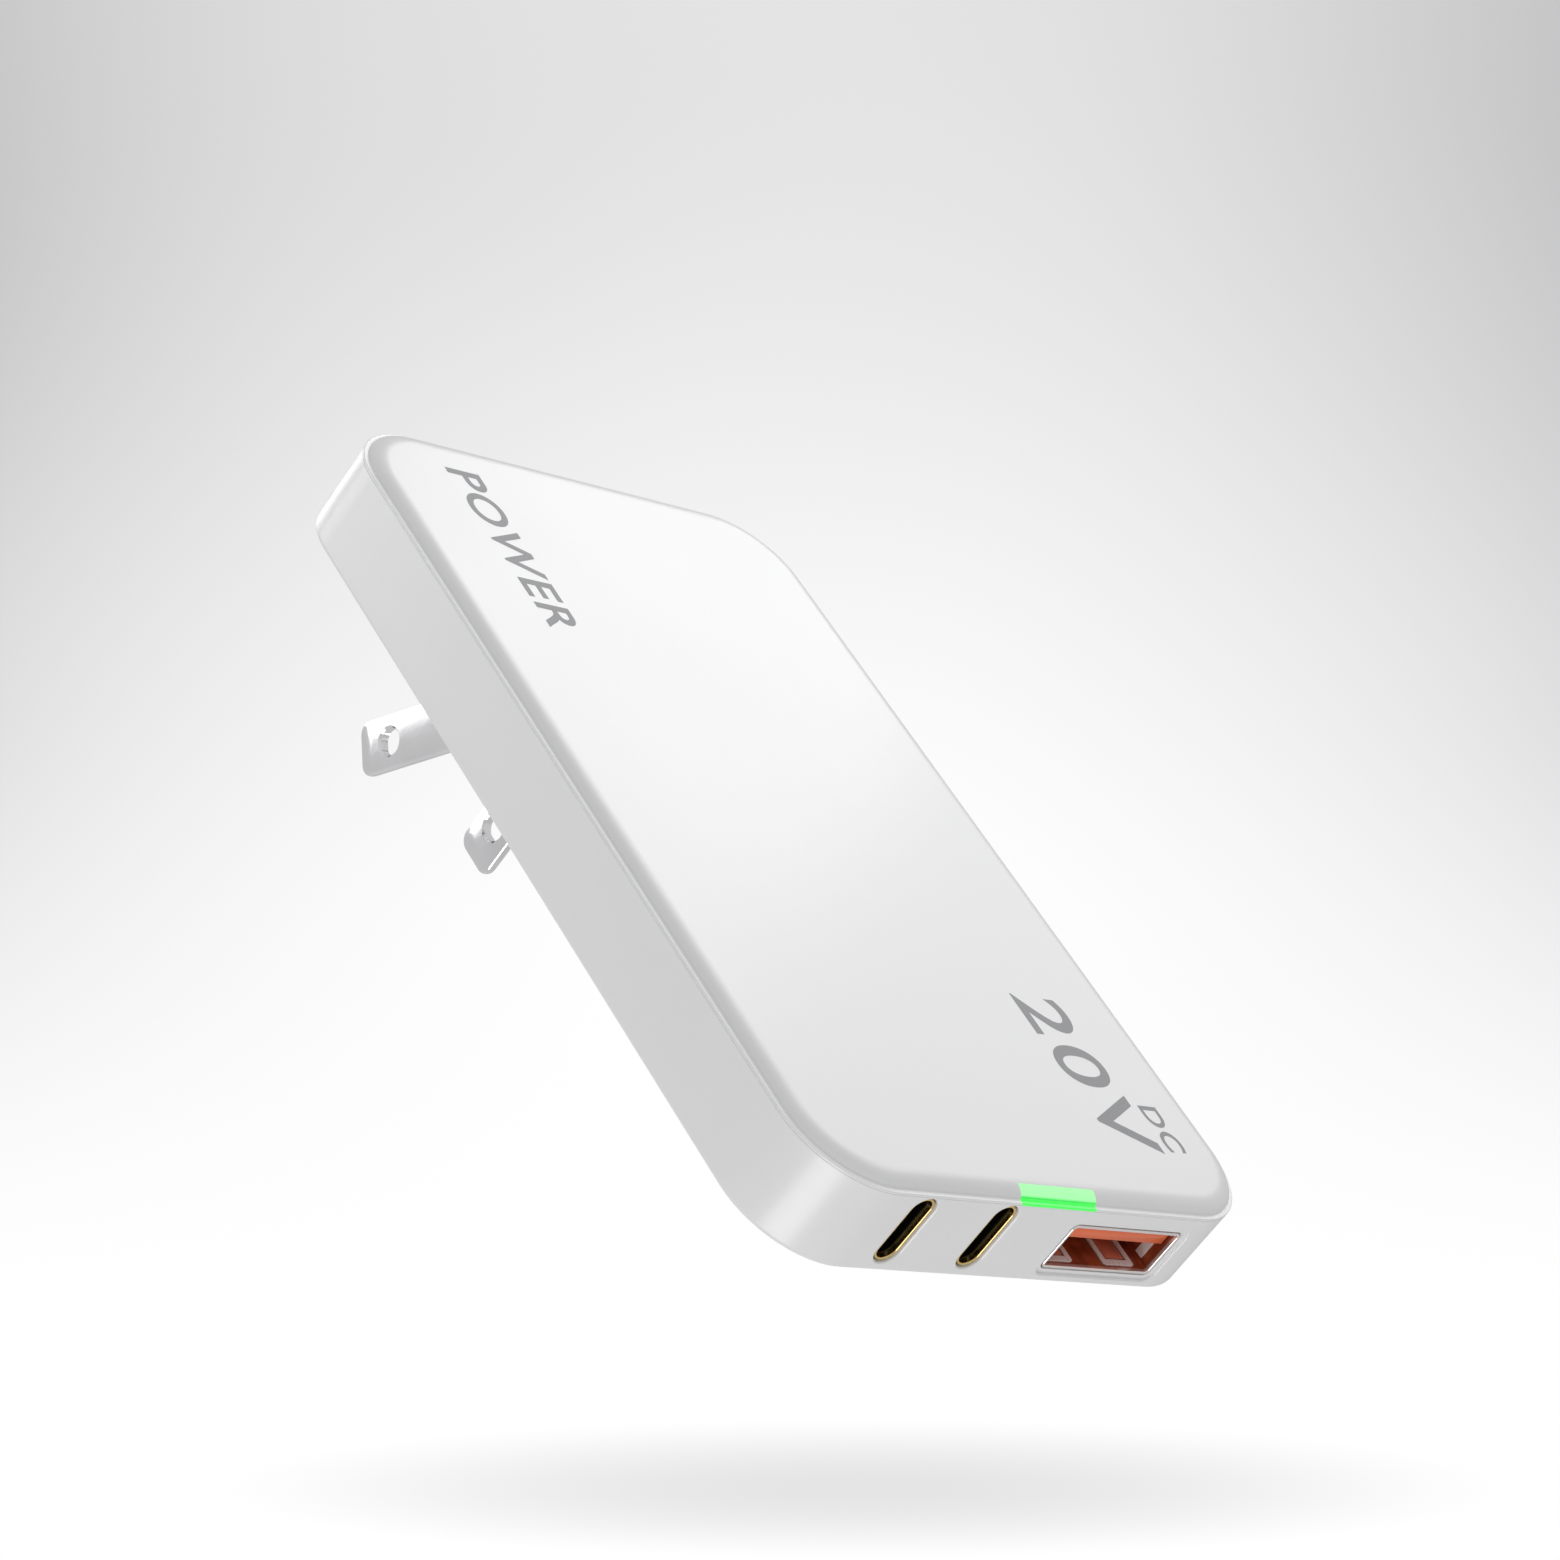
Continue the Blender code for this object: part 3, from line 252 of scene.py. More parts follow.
def quarter(start, end, steps, along_second=True):
    """Pairs on a quarter ellipse from start to end, which sets out along the second number or the first."""
    turn = np.linspace(0, np.pi / 2, steps + 1)
    fast, slow = np.sin(turn), 1 - np.cos(turn)
    first, second = (slow, fast) if along_second else (fast, slow)
    a = start[0] + (end[0] - start[0]) * first
    b = start[1] + (end[1] - start[1]) * second
    return np.column_stack([a, b])


# Pieces


def shade(mesh):
    mesh.shade_smooth()
    mesh.set_sharp_from_angle(angle=math.radians(SMOOTH_ANGLE))


def new_piece(name, skin, material=None):
    """An object at the origin, with its place in its mesh."""
    points, faces = skin
    mesh = bpy.data.meshes.new(name)
    mesh.from_pydata(points.tolist(), [], faces)
    mesh.validate()
    obj = bpy.data.objects.new(name, mesh)
    bpy.context.scene.collection.objects.link(obj)
    if material is not None:
        mesh.materials.append(material)
    shade(mesh)
    return obj


def take_result(obj):
    """Replaces a piece's mesh by what its modifiers make of it."""
    graph = bpy.context.evaluated_depsgraph_get()
    made = bpy.data.meshes.new_from_object(obj.evaluated_get(graph))
    made.name = obj.data.name
    obj.modifiers.clear()
    obj.data = made
    shade(made)
    if not made.polygons:
        raise RuntimeError(f"nothing is left of {obj.name}")


def combine(obj, others, operation="DIFFERENCE"):
    """Cuts, joins or limits a piece by other closed skins, which are removed afterwards."""
    for k, skin in enumerate(others):
        tool = new_piece(f"{obj.name}_tool_{k}", skin)
        step = obj.modifiers.new(f"{operation.lower()} {k}", "BOOLEAN")
        step.operation = operation
        step.solver = "EXACT"
        step.object = tool
        take_result(obj)
        bpy.data.objects.remove(tool)


def box_skin(low, high):
    """A box as two rings of four points."""
    (x0, y0, z0), (x1, y1, z1) = low, high
    plan = np.array([[x0, y0], [x1, y0], [x1, y1], [x0, y1]])
    rings = [np.column_stack([plan, np.full(4, z)]) for z in (z0, z1)]
    return closed_skin(np.array(rings))


def turned_about_x(points, pivot, angle):
    """Points turned about X, where y and z mix by the angle's cosine and sine, then moved to the pivot."""
    c, s = math.cos(angle), math.sin(angle)
    turn = np.array([[1, 0, 0], [0, c, -s], [0, s, c]])
    return points @ turn.T + np.array(pivot)


def settle(obj, body, slot, *nodes):
    """Says which body a piece rides on and which CAD nodes it stands for. The slot argument is not used."""
    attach(obj, body)
    if nodes:
        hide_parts(*nodes)


# Finishes


class Value:
    """A socket of a material. Arithmetic on it adds Math nodes."""

    def __init__(self, paint, socket):
        self.paint = paint
        self.socket = socket

    def _math(self, operation, *values):
        return self.paint.node("ShaderNodeMath", {"operation": operation}, dict(enumerate(values)))

    def __add__(self, other):
        return self._math("ADD", self, other)

    __radd__ = __add__

    def __sub__(self, other):
        return self._math("SUBTRACT", self, other)

    def __rsub__(self, other):
        return self._math("SUBTRACT", other, self)

    def __mul__(self, other):
        return self._math("MULTIPLY", self, other)

    def __truediv__(self, other):
        return self._math("DIVIDE", self, other)

    def clipped(self):
        """The value held between 0 and 1."""
        return self.paint.node("ShaderNodeClamp", {}, {"Value": self})

    def power(self, exponent):
        return self._math("POWER", self, exponent)

    def between(self, low, high):
        """0 up to low, 1 from high on, and a smooth step from one to the other."""
        inputs = {"Value": self, "From Min": low, "From Max": high}
        return self.paint.node("ShaderNodeMapRange", {"interpolation_type": "SMOOTHSTEP"}, inputs)


class Tree:
    """A node tree. One method adds any node."""

    def __init__(self, tree):
        self.tree = tree

    def node(self, kind, settings, inputs, output=0):
        """Adds any node: its settings first, then the values or links of its sockets. Returns one output."""
        node = self.tree.nodes.new(kind)
        for key, value in settings.items():
            setattr(node, key, value)
        for key, value in inputs.items():
            if isinstance(value, Value):
                self.tree.links.new(value.socket, node.inputs[key])
            else:
                node.inputs[key].default_value = value
        return Value(self, node.outputs[output])


class Paint(Tree):
    """A material with one Principled shader, whose patterns read Object coordinates."""

    def __init__(self, name, **constants):
        self.material = bpy.data.materials.new(name)
        self.material.use_nodes = True
        super().__init__(self.material.node_tree)
        self.shader = self.tree.nodes["Principled BSDF"]
        for socket, value in constants.items():
            self.shader.inputs[socket.replace("_", " ")].default_value = value
        self.place = self.node("ShaderNodeTexCoord", {}, {}, "Object")

    def axis(self, name):
        """One coordinate of the place on the object, in metres."""
        return self.node("ShaderNodeSeparateXYZ", {}, {0: self.place}, name)

    def noise(self, scale, detail=2.0, roughness=0.5, stretch=(1, 1, 1)):
        """Noise between 0 and 1, at scale per metre, with each axis stretched."""
        where = self.node("ShaderNodeMapping", {}, {"Vector": self.place, "Scale": stretch})
        inputs = {"Vector": where, "Scale": scale, "Detail": detail, "Roughness": roughness}
        return self.node("ShaderNodeTexNoise", {}, inputs, "Fac")

    def mix(self, factor, first, second):
        """A colour from first to second."""
        first, second = (c if isinstance(c, Value) else (*c, 1.0) for c in (first, second))
        inputs = {"Factor": factor, 6: first, 7: second}
        return self.node("ShaderNodeMix", {"data_type": "RGBA"}, inputs, 2)

    def bump(self, height, strength, distance):
        inputs = {"Height": height, "Strength": strength, "Distance": distance}
        return self.node("ShaderNodeBump", {}, inputs)

    def finish(self, **links):
        """Links what varies to the shader's sockets, and returns the material."""
        for socket, value in links.items():
            self.tree.links.new(value.socket, self.shader.inputs[socket.replace("_", " ")])
        return self.material


def lighter(colour, factor):
    return tuple(min(1.0, c * factor) for c in colour)


def chosen(group, name):
    """A colour from the settings."""
    return tuple(getattr(getattr(bpy.context.scene, group), name))


def moulded(name, colour, roughness=0.4, grain=9000.0, depth=0.004 * MM, level=0.5, lip=None):
    """Moulded plastic: a fine spark-eroded grain, faint flow clouds in its colour, and uneven gloss.

    A lip is the height of a line round the piece that is painted a shade whiter than the rest, a painted
    highlight.
    """
    paint = Paint(name, IOR=1.5, Specular_IOR_Level=level)
    clouds = paint.noise(60.0, 3.0, 0.55)
    fine = paint.noise(grain, 2.0, 0.6)
    base = paint.mix(clouds.between(0.3, 0.7), lighter(colour, 0.988), lighter(colour, 1.004))
    gloss = roughness + (clouds - 0.5) * 0.08 + (fine - 0.5) * 0.06
    if lip:
        height = paint.axis("Z")
        # painted highlight: a thin band at the lip's height is painted whiter to stand for the light the
        # ledge catches
        painted_highlight = height.between(lip - 0.04 * MM, lip - 0.01 * MM)
        painted_highlight = painted_highlight * (1 - height.between(lip + 0.02 * MM, lip + 0.06 * MM))
        base = paint.mix(painted_highlight, base, (0.99, 0.99, 0.99))
    return paint.finish(Base_Color=base, Roughness=gloss, Normal=paint.bump(fine, 0.35, depth))


def plated(name, colour, roughness, stretch, streaks=0.2):
    """Plated or rolled metal: fine drawn lines along the piece, soft clouds in gloss, a trace of tarnish."""
    paint = Paint(name, Metallic=1.0)
    lines = paint.noise(2600.0, 3.0, 0.6, stretch)
    clouds = paint.noise(90.0, 3.0, 0.5)
    base = paint.mix(clouds.between(0.35, 0.75), lighter(colour, 0.93), lighter(colour, 1.04))
    gloss = (roughness + (lines - 0.5) * 0.1 + (clouds - 0.5) * 0.06).clipped()
    return paint.finish(Base_Color=base, Roughness=gloss, Normal=paint.bump(lines, streaks, 0.002 * MM))


def circuit_board(name, colour):
    """Solder mask over copper: traces show as slightly lighter, raised paths on a grid of cells."""
    paint = Paint(name, Roughness=0.35, IOR=1.5)
    cell = paint.node(
        "ShaderNodeTexVoronoi",
        {"feature": "DISTANCE_TO_EDGE", "distance": "EUCLIDEAN"},
        {"Vector": paint.place, "Scale": 260.0, "Randomness": 0.55},
        "Distance",
    )
    trace = 1 - cell.between(0.06, 0.1)
    weave = paint.noise(1400.0, 2.0, 0.5)
    base = paint.mix(trace, lighter(colour, 0.9), lighter(colour, 1.7))
    return paint.finish(Base_Color=base, Normal=paint.bump(trace * 0.8 + weave * 0.2, 0.5, 0.03 * MM))


def wound(name, colour, turns, axis):
    """Enamelled wire laid side by side: round ridges along an axis, so many turns to the metre, with painted
    shade in the grooves between turns and a painted highlight on the crests.
    """
    paint = Paint(name, Metallic=0.85, Coat_Weight=0.5)
    wave = paint.axis(axis) * turns * 2 * math.pi
    ridge = paint.node("ShaderNodeMath", {"operation": "SINE"}, {0: wave}) * 0.5 + 0.5
    clouds = paint.noise(300.0)
    # painted shade and highlight: the colour darkens in the grooves between turns and lightens on the crests
    base = paint.mix(ridge, lighter(colour, 0.45), lighter(colour, 1.1))
    gloss = 0.3 + clouds * 0.15
    return paint.finish(Base_Color=base, Roughness=gloss, Normal=paint.bump(ridge, 0.8, 0.08 * MM))


def ceramic(name, colour, roughness=0.6, speck=1800.0):
    """Sintered ferrite or ceramic: small pores and dark specks."""
    paint = Paint(name, IOR=1.6)
    pores = paint.node("ShaderNodeTexVoronoi", {}, {"Vector": paint.place, "Scale": speck}, "Distance")
    specks = paint.noise(speck / 2, 4.0, 0.7)
    base = paint.mix(specks.between(0.35, 0.65), lighter(colour, 0.75), lighter(colour, 1.3))
    gloss = roughness + (specks - 0.5) * 0.2
    return paint.finish(Base_Color=base, Roughness=gloss, Normal=paint.bump(pores, 0.4, 0.02 * MM))


def film(name, colour, roughness):
    """Tape or dipped film: a soft orange-peel surface and slightly uneven depth of colour."""
    paint = Paint(name, IOR=1.5, Coat_Weight=0.3)
    peel = paint.noise(700.0, 2.0, 0.5)
    base = paint.mix(peel.between(0.3, 0.7), lighter(colour, 0.85), lighter(colour, 1.1))
    gloss = roughness + (peel - 0.5) * 0.12
    return paint.finish(Base_Color=base, Roughness=gloss, Normal=paint.bump(peel, 0.3, 0.03 * MM))


def white_case_finish():
    """Satin white casing plastic, with a painted highlight: the line round the cover is painted whiter."""
    casing = bpy.context.scene.adapter_casing
    # painted highlight at this height: the ledge round the cover is painted whiter
    lip = casing.seam_height + casing.ledge_height
    return moulded("casing_white", tuple(casing.white), 0.3, 7000.0, level=0.8, lip=lip)


def gold_shell_finish(mouth):
    """Gold plate on the lip, turning to a dark unlit inside past the mouth."""
    tone = chosen("adapter_ports", "gold")
    paint = Paint("port_gold", Metallic=1.0)
    deep = (paint.axis("Y") - (mouth + 0.55 * MM)).between(0.0, 0.35 * MM)
    lines = paint.noise(3000.0, 2.0, 0.6, (1, 0.2, 1))
    plate = paint.mix(lines.between(0.3, 0.7), lighter(tone, 0.9), lighter(tone, 1.05))
    base = paint.mix(deep, plate, (0.012, 0.011, 0.01))
    gloss = 0.2 + (lines - 0.5) * 0.12 + deep * 0.35
    return paint.finish(Base_Color=base, Roughness=gloss, Normal=paint.bump(lines, 0.2, 0.002 * MM))


def steel_shell_finish(mouth):
    """Bright steel on the rim, with a painted reflection of the tongue's orange along the inside, darkened
    further in by painted shade.
    """
    paint = Paint("port_steel")
    deep = (paint.axis("Y") - (mouth + 0.12 * MM)).between(0.0, 0.5 * MM)
    deep_shade = (paint.axis("Y") - (mouth + 2.5 * MM)).between(0.0, 4.0 * MM)
    lines = paint.noise(2400.0, 2.0, 0.6, (0.2, 1, 1))
    clouds = paint.noise(420.0, 2.0)
    rim = paint.mix(clouds, (0.9, 0.84, 0.82), (0.96, 0.92, 0.9))
    # painted reflection of the orange tongue on the inner walls, then painted shade darkening it deeper in
    inside = paint.mix(clouds.between(0.3, 0.7), (0.2, 0.035, 0.012), (0.36, 0.08, 0.03))
    inside = paint.mix(deep_shade, inside, (0.08, 0.02, 0.01))
    return paint.finish(
        Base_Color=paint.mix(deep, rim, inside),
        Metallic=0.9 - deep * 0.65,
        Roughness=0.22 + (lines - 0.5) * 0.15,
        Normal=paint.bump(lines, 0.2, 0.002 * MM),
    )


def leaf_finish(name, colour):
    """Brushed spring leaf, dulled, with drawn lines along its length."""
    paint = Paint(name)
    lines = paint.noise(2600.0, 3.0, 0.6, (1, 0.15, 1))
    base = paint.mix(lines.between(0.3, 0.7), lighter(colour, 0.85), lighter(colour, 1.1))
    shine, gloss = 0.25 + lines * 0.2, 0.4 + lines * 0.1
    grooves = paint.bump(lines, 0.3, 0.003 * MM)
    return paint.finish(Base_Color=base, Metallic=shine, Roughness=gloss, Normal=grooves)


def light_finish():
    """A lit bar: pale above its strip, a dark green line where they meet, and strong green below."""
    casing, light = bpy.context.scene.adapter_casing, bpy.context.scene.adapter_light
    paint = Paint("status_light", Roughness=0.25, Emission_Strength=1.0)
    height = paint.axis("Z") - (casing.seam_height + light.strip_height)
    glow = paint.noise(900.0, 2.0)
    upper = height.between(0.12 * MM, 0.3 * MM)
    line = height.between(-0.01 * MM, 0.05 * MM) * (1 - height.between(0.07 * MM, 0.2 * MM))
    colour = paint.mix(upper, tuple(light.strong), tuple(light.pale))
    colour = paint.mix(line * 0.6, colour, (0.01, 0.42, 0.06))
    lit = paint.mix(glow.between(0.2, 0.8) * 0.08, colour, (0.5, 1.0, 0.55))
    base = paint.mix(upper, (0.03, 0.2, 0.05), (0.06, 0.25, 0.08))
    return paint.finish(Base_Color=base, Emission_Color=lit)


def ink_finish():
    """Screen-printed ink: dense, matt, with the slightly grainy edge of its mesh."""
    tone = chosen("adapter_marks", "ink")
    paint = Paint("printed_ink", IOR=1.45)
    grain = paint.noise(9000.0, 2.0)
    base = paint.mix(grain.between(0.2, 0.8), lighter(tone, 0.92), lighter(tone, 1.08))
    gloss = 0.5 + (grain - 0.5) * 0.1
    return paint.finish(Base_Color=base, Roughness=gloss, Normal=paint.bump(grain, 0.2, 0.003 * MM))


MADE = {}


def shared(name, make):
    """A finish that several pieces use is made once."""
    if name not in MADE:
        MADE[name] = make()
    return MADE[name]


FINISHES = {
    "white_plastic": white_case_finish,
    "hub_plastic": lambda: moulded("hub_plastic", (0.72, 0.72, 0.72), 0.42),
    "black_plastic": lambda: moulded("black_plastic", (0.018, 0.018, 0.019), 0.45, 5000.0, 0.01 * MM),
    "orange_plastic": lambda: moulded("orange_plastic", chosen("adapter_ports", "orange"), 0.38, 5000.0),
    "light_pipe": light_finish,
    "nickel_plate": lambda: plated("nickel_plate", chosen("adapter_prongs", "nickel"), 0.13, (1, 1, 0.15)),
    "steel": lambda: plated("steel", (0.6, 0.6, 0.61), 0.25, (0.2, 1, 1)),
    "gold_plate": lambda: plated("contact_gold", chosen("adapter_ports", "gold"), 0.22, (1, 0.2, 1)),
    "spring_bronze": lambda: plated("spring_bronze", (0.66, 0.42, 0.22), 0.28, (1, 0.2, 1)),
    "copper_wire": lambda: wound("copper_wire", (0.7, 0.3, 0.14), 1300.0, "Y"),
    "aluminium": lambda: plated("aluminium", (0.78, 0.78, 0.79), 0.35, (1, 0.2, 1), 0.4),
    "capacitor_sleeve": lambda: film("capacitor_sleeve", (0.03, 0.045, 0.12), 0.28),
    "ferrite": lambda: ceramic("ferrite", (0.06, 0.06, 0.065)),
    "yellow_film": lambda: film("yellow_film", (0.8, 0.55, 0.06), 0.35),
    "insulating_film": lambda: film("insulating_film", (0.7, 0.36, 0.05), 0.25),
    "blue_coating": lambda: film("blue_coating", (0.04, 0.12, 0.45), 0.35),
    "fuse_body": lambda: ceramic("fuse_ceramic", (0.75, 0.72, 0.64), 0.4, 900.0),
    "lead_insulation": lambda: moulded("lead_insulation", (0.03, 0.03, 0.03), 0.5, 3000.0),
    "circuit_board": lambda: circuit_board("circuit_board", (0.012, 0.11, 0.04)),
}


def finish_for(slot):
    return shared(slot, FINISHES[slot])


# Operators


SOFT_EDGE = 0.06 * MM
SAME_POINT = 0.002 * MM
SHARPEST = 40  # degrees between two faces, past which their edge is softened
COVER_TOP = BODY_HIGH[2] - 0.02 * MM  # leaves room for the print
PORT_SHELLS = ("usb_c_shell_1", "usb_c_shell_2", "usb_a_shell")


class ADAPTER_OT_finishes(bpy.types.Operator):
    """Give every piece of the frame the finish of its material slot, and soften its edges"""

    bl_idname = "adapter.finishes"
    bl_label = "Frame Finishes"

    def execute(self, context):
        for entry in frame["record"]["subparts"]:
            obj = frame["nodes"][entry["node"]]
            obj.data.materials.clear()
            obj.data.materials.append(finish_for(entry["material_slot"]))
            obj.data.shade_smooth()
            weld = obj.modifiers.new("weld", "WELD")
            weld.merge_threshold = SAME_POINT
            bevel = obj.modifiers.new("soft edges", "BEVEL")
            bevel.width = SOFT_EDGE
            bevel.segments = 2
            bevel.limit_method = "ANGLE"
            bevel.angle_limit = math.radians(SHARPEST)
            bevel.harden_normals = True
            bevel.use_clamp_overlap = True
        return {"FINISHED"}


def opening(half_x, half_z, radius, middle, depth):
    """A cutter through the end wall, flared at its mouth by the chamfer."""
    chamfer = bpy.context.scene.adapter_ports.mouth_chamfer
    start = HOUSING_LOW[1]
    profile = [(-2 * chamfer, start - chamfer), (0.0, start + chamfer), (0.0, start + depth)]
    return closed_skin(port_rings(half_x, half_z, radius, profile, middle))


def port_openings(casing, ports):
    """Cutters for the three ports, and for the shallow step round the wide one."""
    cutters = []
    for name in PORT_SHELLS:
        low, high = map(np.array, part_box(name))
        half = (high - low) / 2 + ports.gap
        middle = (low + high)[[0, 2]] / 2
        wide = name == "usb_a_shell"
        radius = ports.usb_a_corner + ports.gap if wide else half[0]
        cutters.append(opening(half[0], half[2], radius, middle, 3 * casing.wall))
        if wide:
            rim = half + ports.recess_margin
            start, flare = HOUSING_LOW[1], 0.1 * MM
            steps = [(-flare, start - flare), (flare, start + flare), (flare, start + ports.recess_depth)]
            rings = port_rings(rim[0], rim[2], ports.usb_a_corner + ports.recess_margin, steps, middle)
            cutters.append(closed_skin(rings))
    return cutters


class ADAPTER_OT_housing(bpy.types.Operator):
    """Build the tray: flat back, upright walls, rounded back edge and every opening"""

    bl_idname = "adapter.housing"
    bl_label = "Rear Housing"

    def execute(self, context):
        casing, ports = context.scene.adapter_casing, context.scene.adapter_ports
        half_x, half_y, top = HOUSING_HIGH
        wall, edge = casing.wall, 0.08 * MM
        centre, flat = half_x * 0.9, 4 * MM
        profile = np.vstack(
            [
                [(centre, 0.0), (flat, 0.0)],
                quarter((casing.back_radius, 0.0), (0.0, casing.back_radius), 7, False),
                [(0.0, top * 0.5), (0.0, top - edge), (edge, top), (wall - edge, top), (wall, top - edge)],
                quarter((wall, 2 * wall), (2 * wall, wall), 4),
                [(flat, wall), (centre, wall)],
            ]
        )
        rings = plan_skin(half_x, half_y, casing.corner_radius, profile, steps=24)
        housing = new_piece("rear_housing_shell", closed_skin(rings), finish_for("white_plastic"))
        low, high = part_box("prong_cradle")
        flange, bay_corner = 2.0 * MM, 1.2 * MM
        x0, x1 = low[0] - ports.gap, high[0] - flange + ports.gap
        y0, y1 = low[1] + flange - ports.gap, high[1] - flange + ports.gap
        middle = ((x0 + x1) / 2, (y0 + y1) / 2)
        steps = [(-0.1 * MM, -0.1 * MM), (0.05 * MM, 0.1 * MM), (0.0, 2 * wall)]
        bay = plan_skin((x1 - x0) / 2, (y1 - y0) / 2, bay_corner, steps, middle, 6)
        combine(housing, [closed_skin(bay), *port_openings(casing, ports)])
        settle(housing, "casing", "white_plastic", "rear_housing")
        return {"FINISHED"}


def cover_profile(casing):
    """(inset, height) pairs of the cover's outside: a fine ledge, then a swell up to the flat face.

    The swell is a superellipse, height = rise (1 - (1 - s) ^ power) ^ (1 / power). s runs from 0 at the ledge
    to 1 at the band's inner edge, so the swell leaves the ledge upright and ends level.
    """
    corner, edge_strip = 0.1 * MM, 0.03 * MM
    level = casing.seam_height + casing.ledge_height
    edge = quarter((0.0, level - corner), (corner, level), 5)
    ledge = [(corner + edge_strip, level), (casing.ledge - edge_strip, level)]
    rise, power = COVER_TOP - level, casing.pillow_power
    s = (1 - np.cos(np.linspace(0, np.pi / 2, 30))) ** 1.2
    inset = casing.ledge + (casing.pillow_band - casing.ledge) * s
    height = level + rise * (1 - (1 - s) ** power) ** (1 / power)
    return np.vstack([edge, ledge, np.column_stack([inset, height])])


def light_window(gap):
    """Where the light bar sits in the cover, as (low, high) corners, with a gap round it."""
    low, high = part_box("led_light_bar")
    front = BODY_LOW[1]
    depth = bpy.context.scene.adapter_light.depth
    return (low[0] - gap, front - 1 * MM, -FAR), (high[0] + gap, front + depth + gap, FAR)


class ADAPTER_OT_cover(bpy.types.Operator):
    """Build the front cover: a soft pillow top, a fine rim painted whiter as a highlight, and a skirt that
    drops into the tray
    """

    bl_idname = "adapter.cover"
    bl_label = "Front Cover"

    def execute(self, context):
        casing, light = context.scene.adapter_casing, context.scene.adapter_light
        half_x, half_y, _ = BODY_HIGH
        wall, seam, clearance = casing.wall, casing.seam_height, 0.2 * MM
        centre, skirt = half_x * 0.9, wall + clearance
        skirt_back = skirt + 1 * MM
        foot = seam - casing.skirt_depth
        lip = HOUSING_HIGH[2] + casing.seam_gap
        profile = np.vstack(
            [
                [(centre, COVER_TOP), (half_x * 0.5, COVER_TOP)],
                cover_profile(casing)[::-1],
                [(0.0, lip + 0.02 * MM), (0.02 * MM, lip), (wall - 0.1 * MM, lip), (wall, seam)],
                [(skirt, seam), (skirt, foot), (skirt_back, foot), (skirt_back, seam)],
                [(centre, seam)],
            ]
        )
        rings = plan_skin(half_x, half_y, casing.corner_radius, profile, steps=24)
        cover = new_piece("front_cover_shell", closed_skin(rings), finish_for("white_plastic"))
        (ports_start, _, _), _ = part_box("usb_c_shell_1")
        _, (ports_end, _, _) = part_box("usb_a_shell")
        front, half_heel = BODY_LOW[1], 2.5 * MM
        notch = box_skin(
            (ports_start - 1 * MM, front + 1 * MM, foot - 1 * MM),
            (ports_end + 1 * MM, front + 4 * MM, seam - 0.1 * MM),
        )
        heel = box_skin(
            (-half_heel, front + light.depth - 0.1 * MM, foot),
            (half_heel, front + light.heel_depth + clearance, seam + light.heel_height + clearance),
        )
        combine(cover, [notch, box_skin(*light_window(light.gap)), heel])
        settle(cover, "casing", "white_plastic", "front_cover")
        return {"FINISHED"}


class ADAPTER_OT_light(bpy.types.Operator):
    """Build the light bar, which carries the cover's form across its window, with its heel and stem"""

    bl_idname = "adapter.light"
    bl_label = "Light Bar"

    def execute(self, context):
        casing, light = context.scene.adapter_casing, context.scene.adapter_light
        wall, seam, inside = casing.wall, casing.seam_height, 20 * MM
        lip = HOUSING_HIGH[2] + casing.seam_gap
        foot = [(0.0, lip), (wall - 0.1 * MM, lip), (wall, seam), (inside, seam)]
        profile = np.vstack([[(inside, COVER_TOP)], cover_profile(casing)[::-1], foot])
        rings = plan_skin(BODY_HIGH[0], BODY_HIGH[1], casing.corner_radius, profile, steps=8)
        bar = new_piece("light_bar", closed_skin(rings), finish_for("light_pipe"))
        combine(bar, [box_skin(*light_window(0.0))], "INTERSECT")
        (_, _, low), (_, back, _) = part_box("led_light_bar")
        front, half_stem, half_heel = BODY_LOW[1], 2.1 * MM, 2.3 * MM
        stem = box_skin((-half_stem, front + 1.6 * MM, low + 0.1 * MM), (half_stem, back, seam - 0.4 * MM))
        heel_high = (half_heel, front + light.heel_depth, seam + light.heel_height)
        heel = box_skin((-half_heel, front + 1.4 * MM, low), heel_high)
        combine(bar, [heel, stem], "UNION")
        settle(bar, "casing", "light_pipe", "led_light_bar")
        return {"FINISHED"}


def blade_outline(prong, inset):
    """The blade's outline in its own plane, drawn in by inset, as an (n, 2) array from the tip round.

    The right half is a quarter arc at the tip, the straight edge, the shoulder, the neck and its relieved
    end. The left half mirrors it.
    """
    half, neck = prong.width / 2 - inset, prong.neck_width / 2 - inset
    tip, shoulder, end = -prong.length + inset, -prong.shoulder - inset, prong.neck_end - inset
    radius, relief = max(prong.tip_radius - inset, 0.2 * MM), 0.5 * MM
    turn = np.linspace(-np.pi / 2, 0, 11)
    arc = np.column_stack([half - radius + radius * np.cos(turn), tip + radius + radius * np.sin(turn)])
    side = np.column_stack([np.full(14, half), np.linspace(tip + radius, shoulder, 15)[1:]])
    stem = np.array([(neck, shoulder), (neck, end - relief), (neck - relief, end)])
    right = np.vstack([arc, side, stem])
    return np.vstack([right, right[::-1] * (-1, 1)])


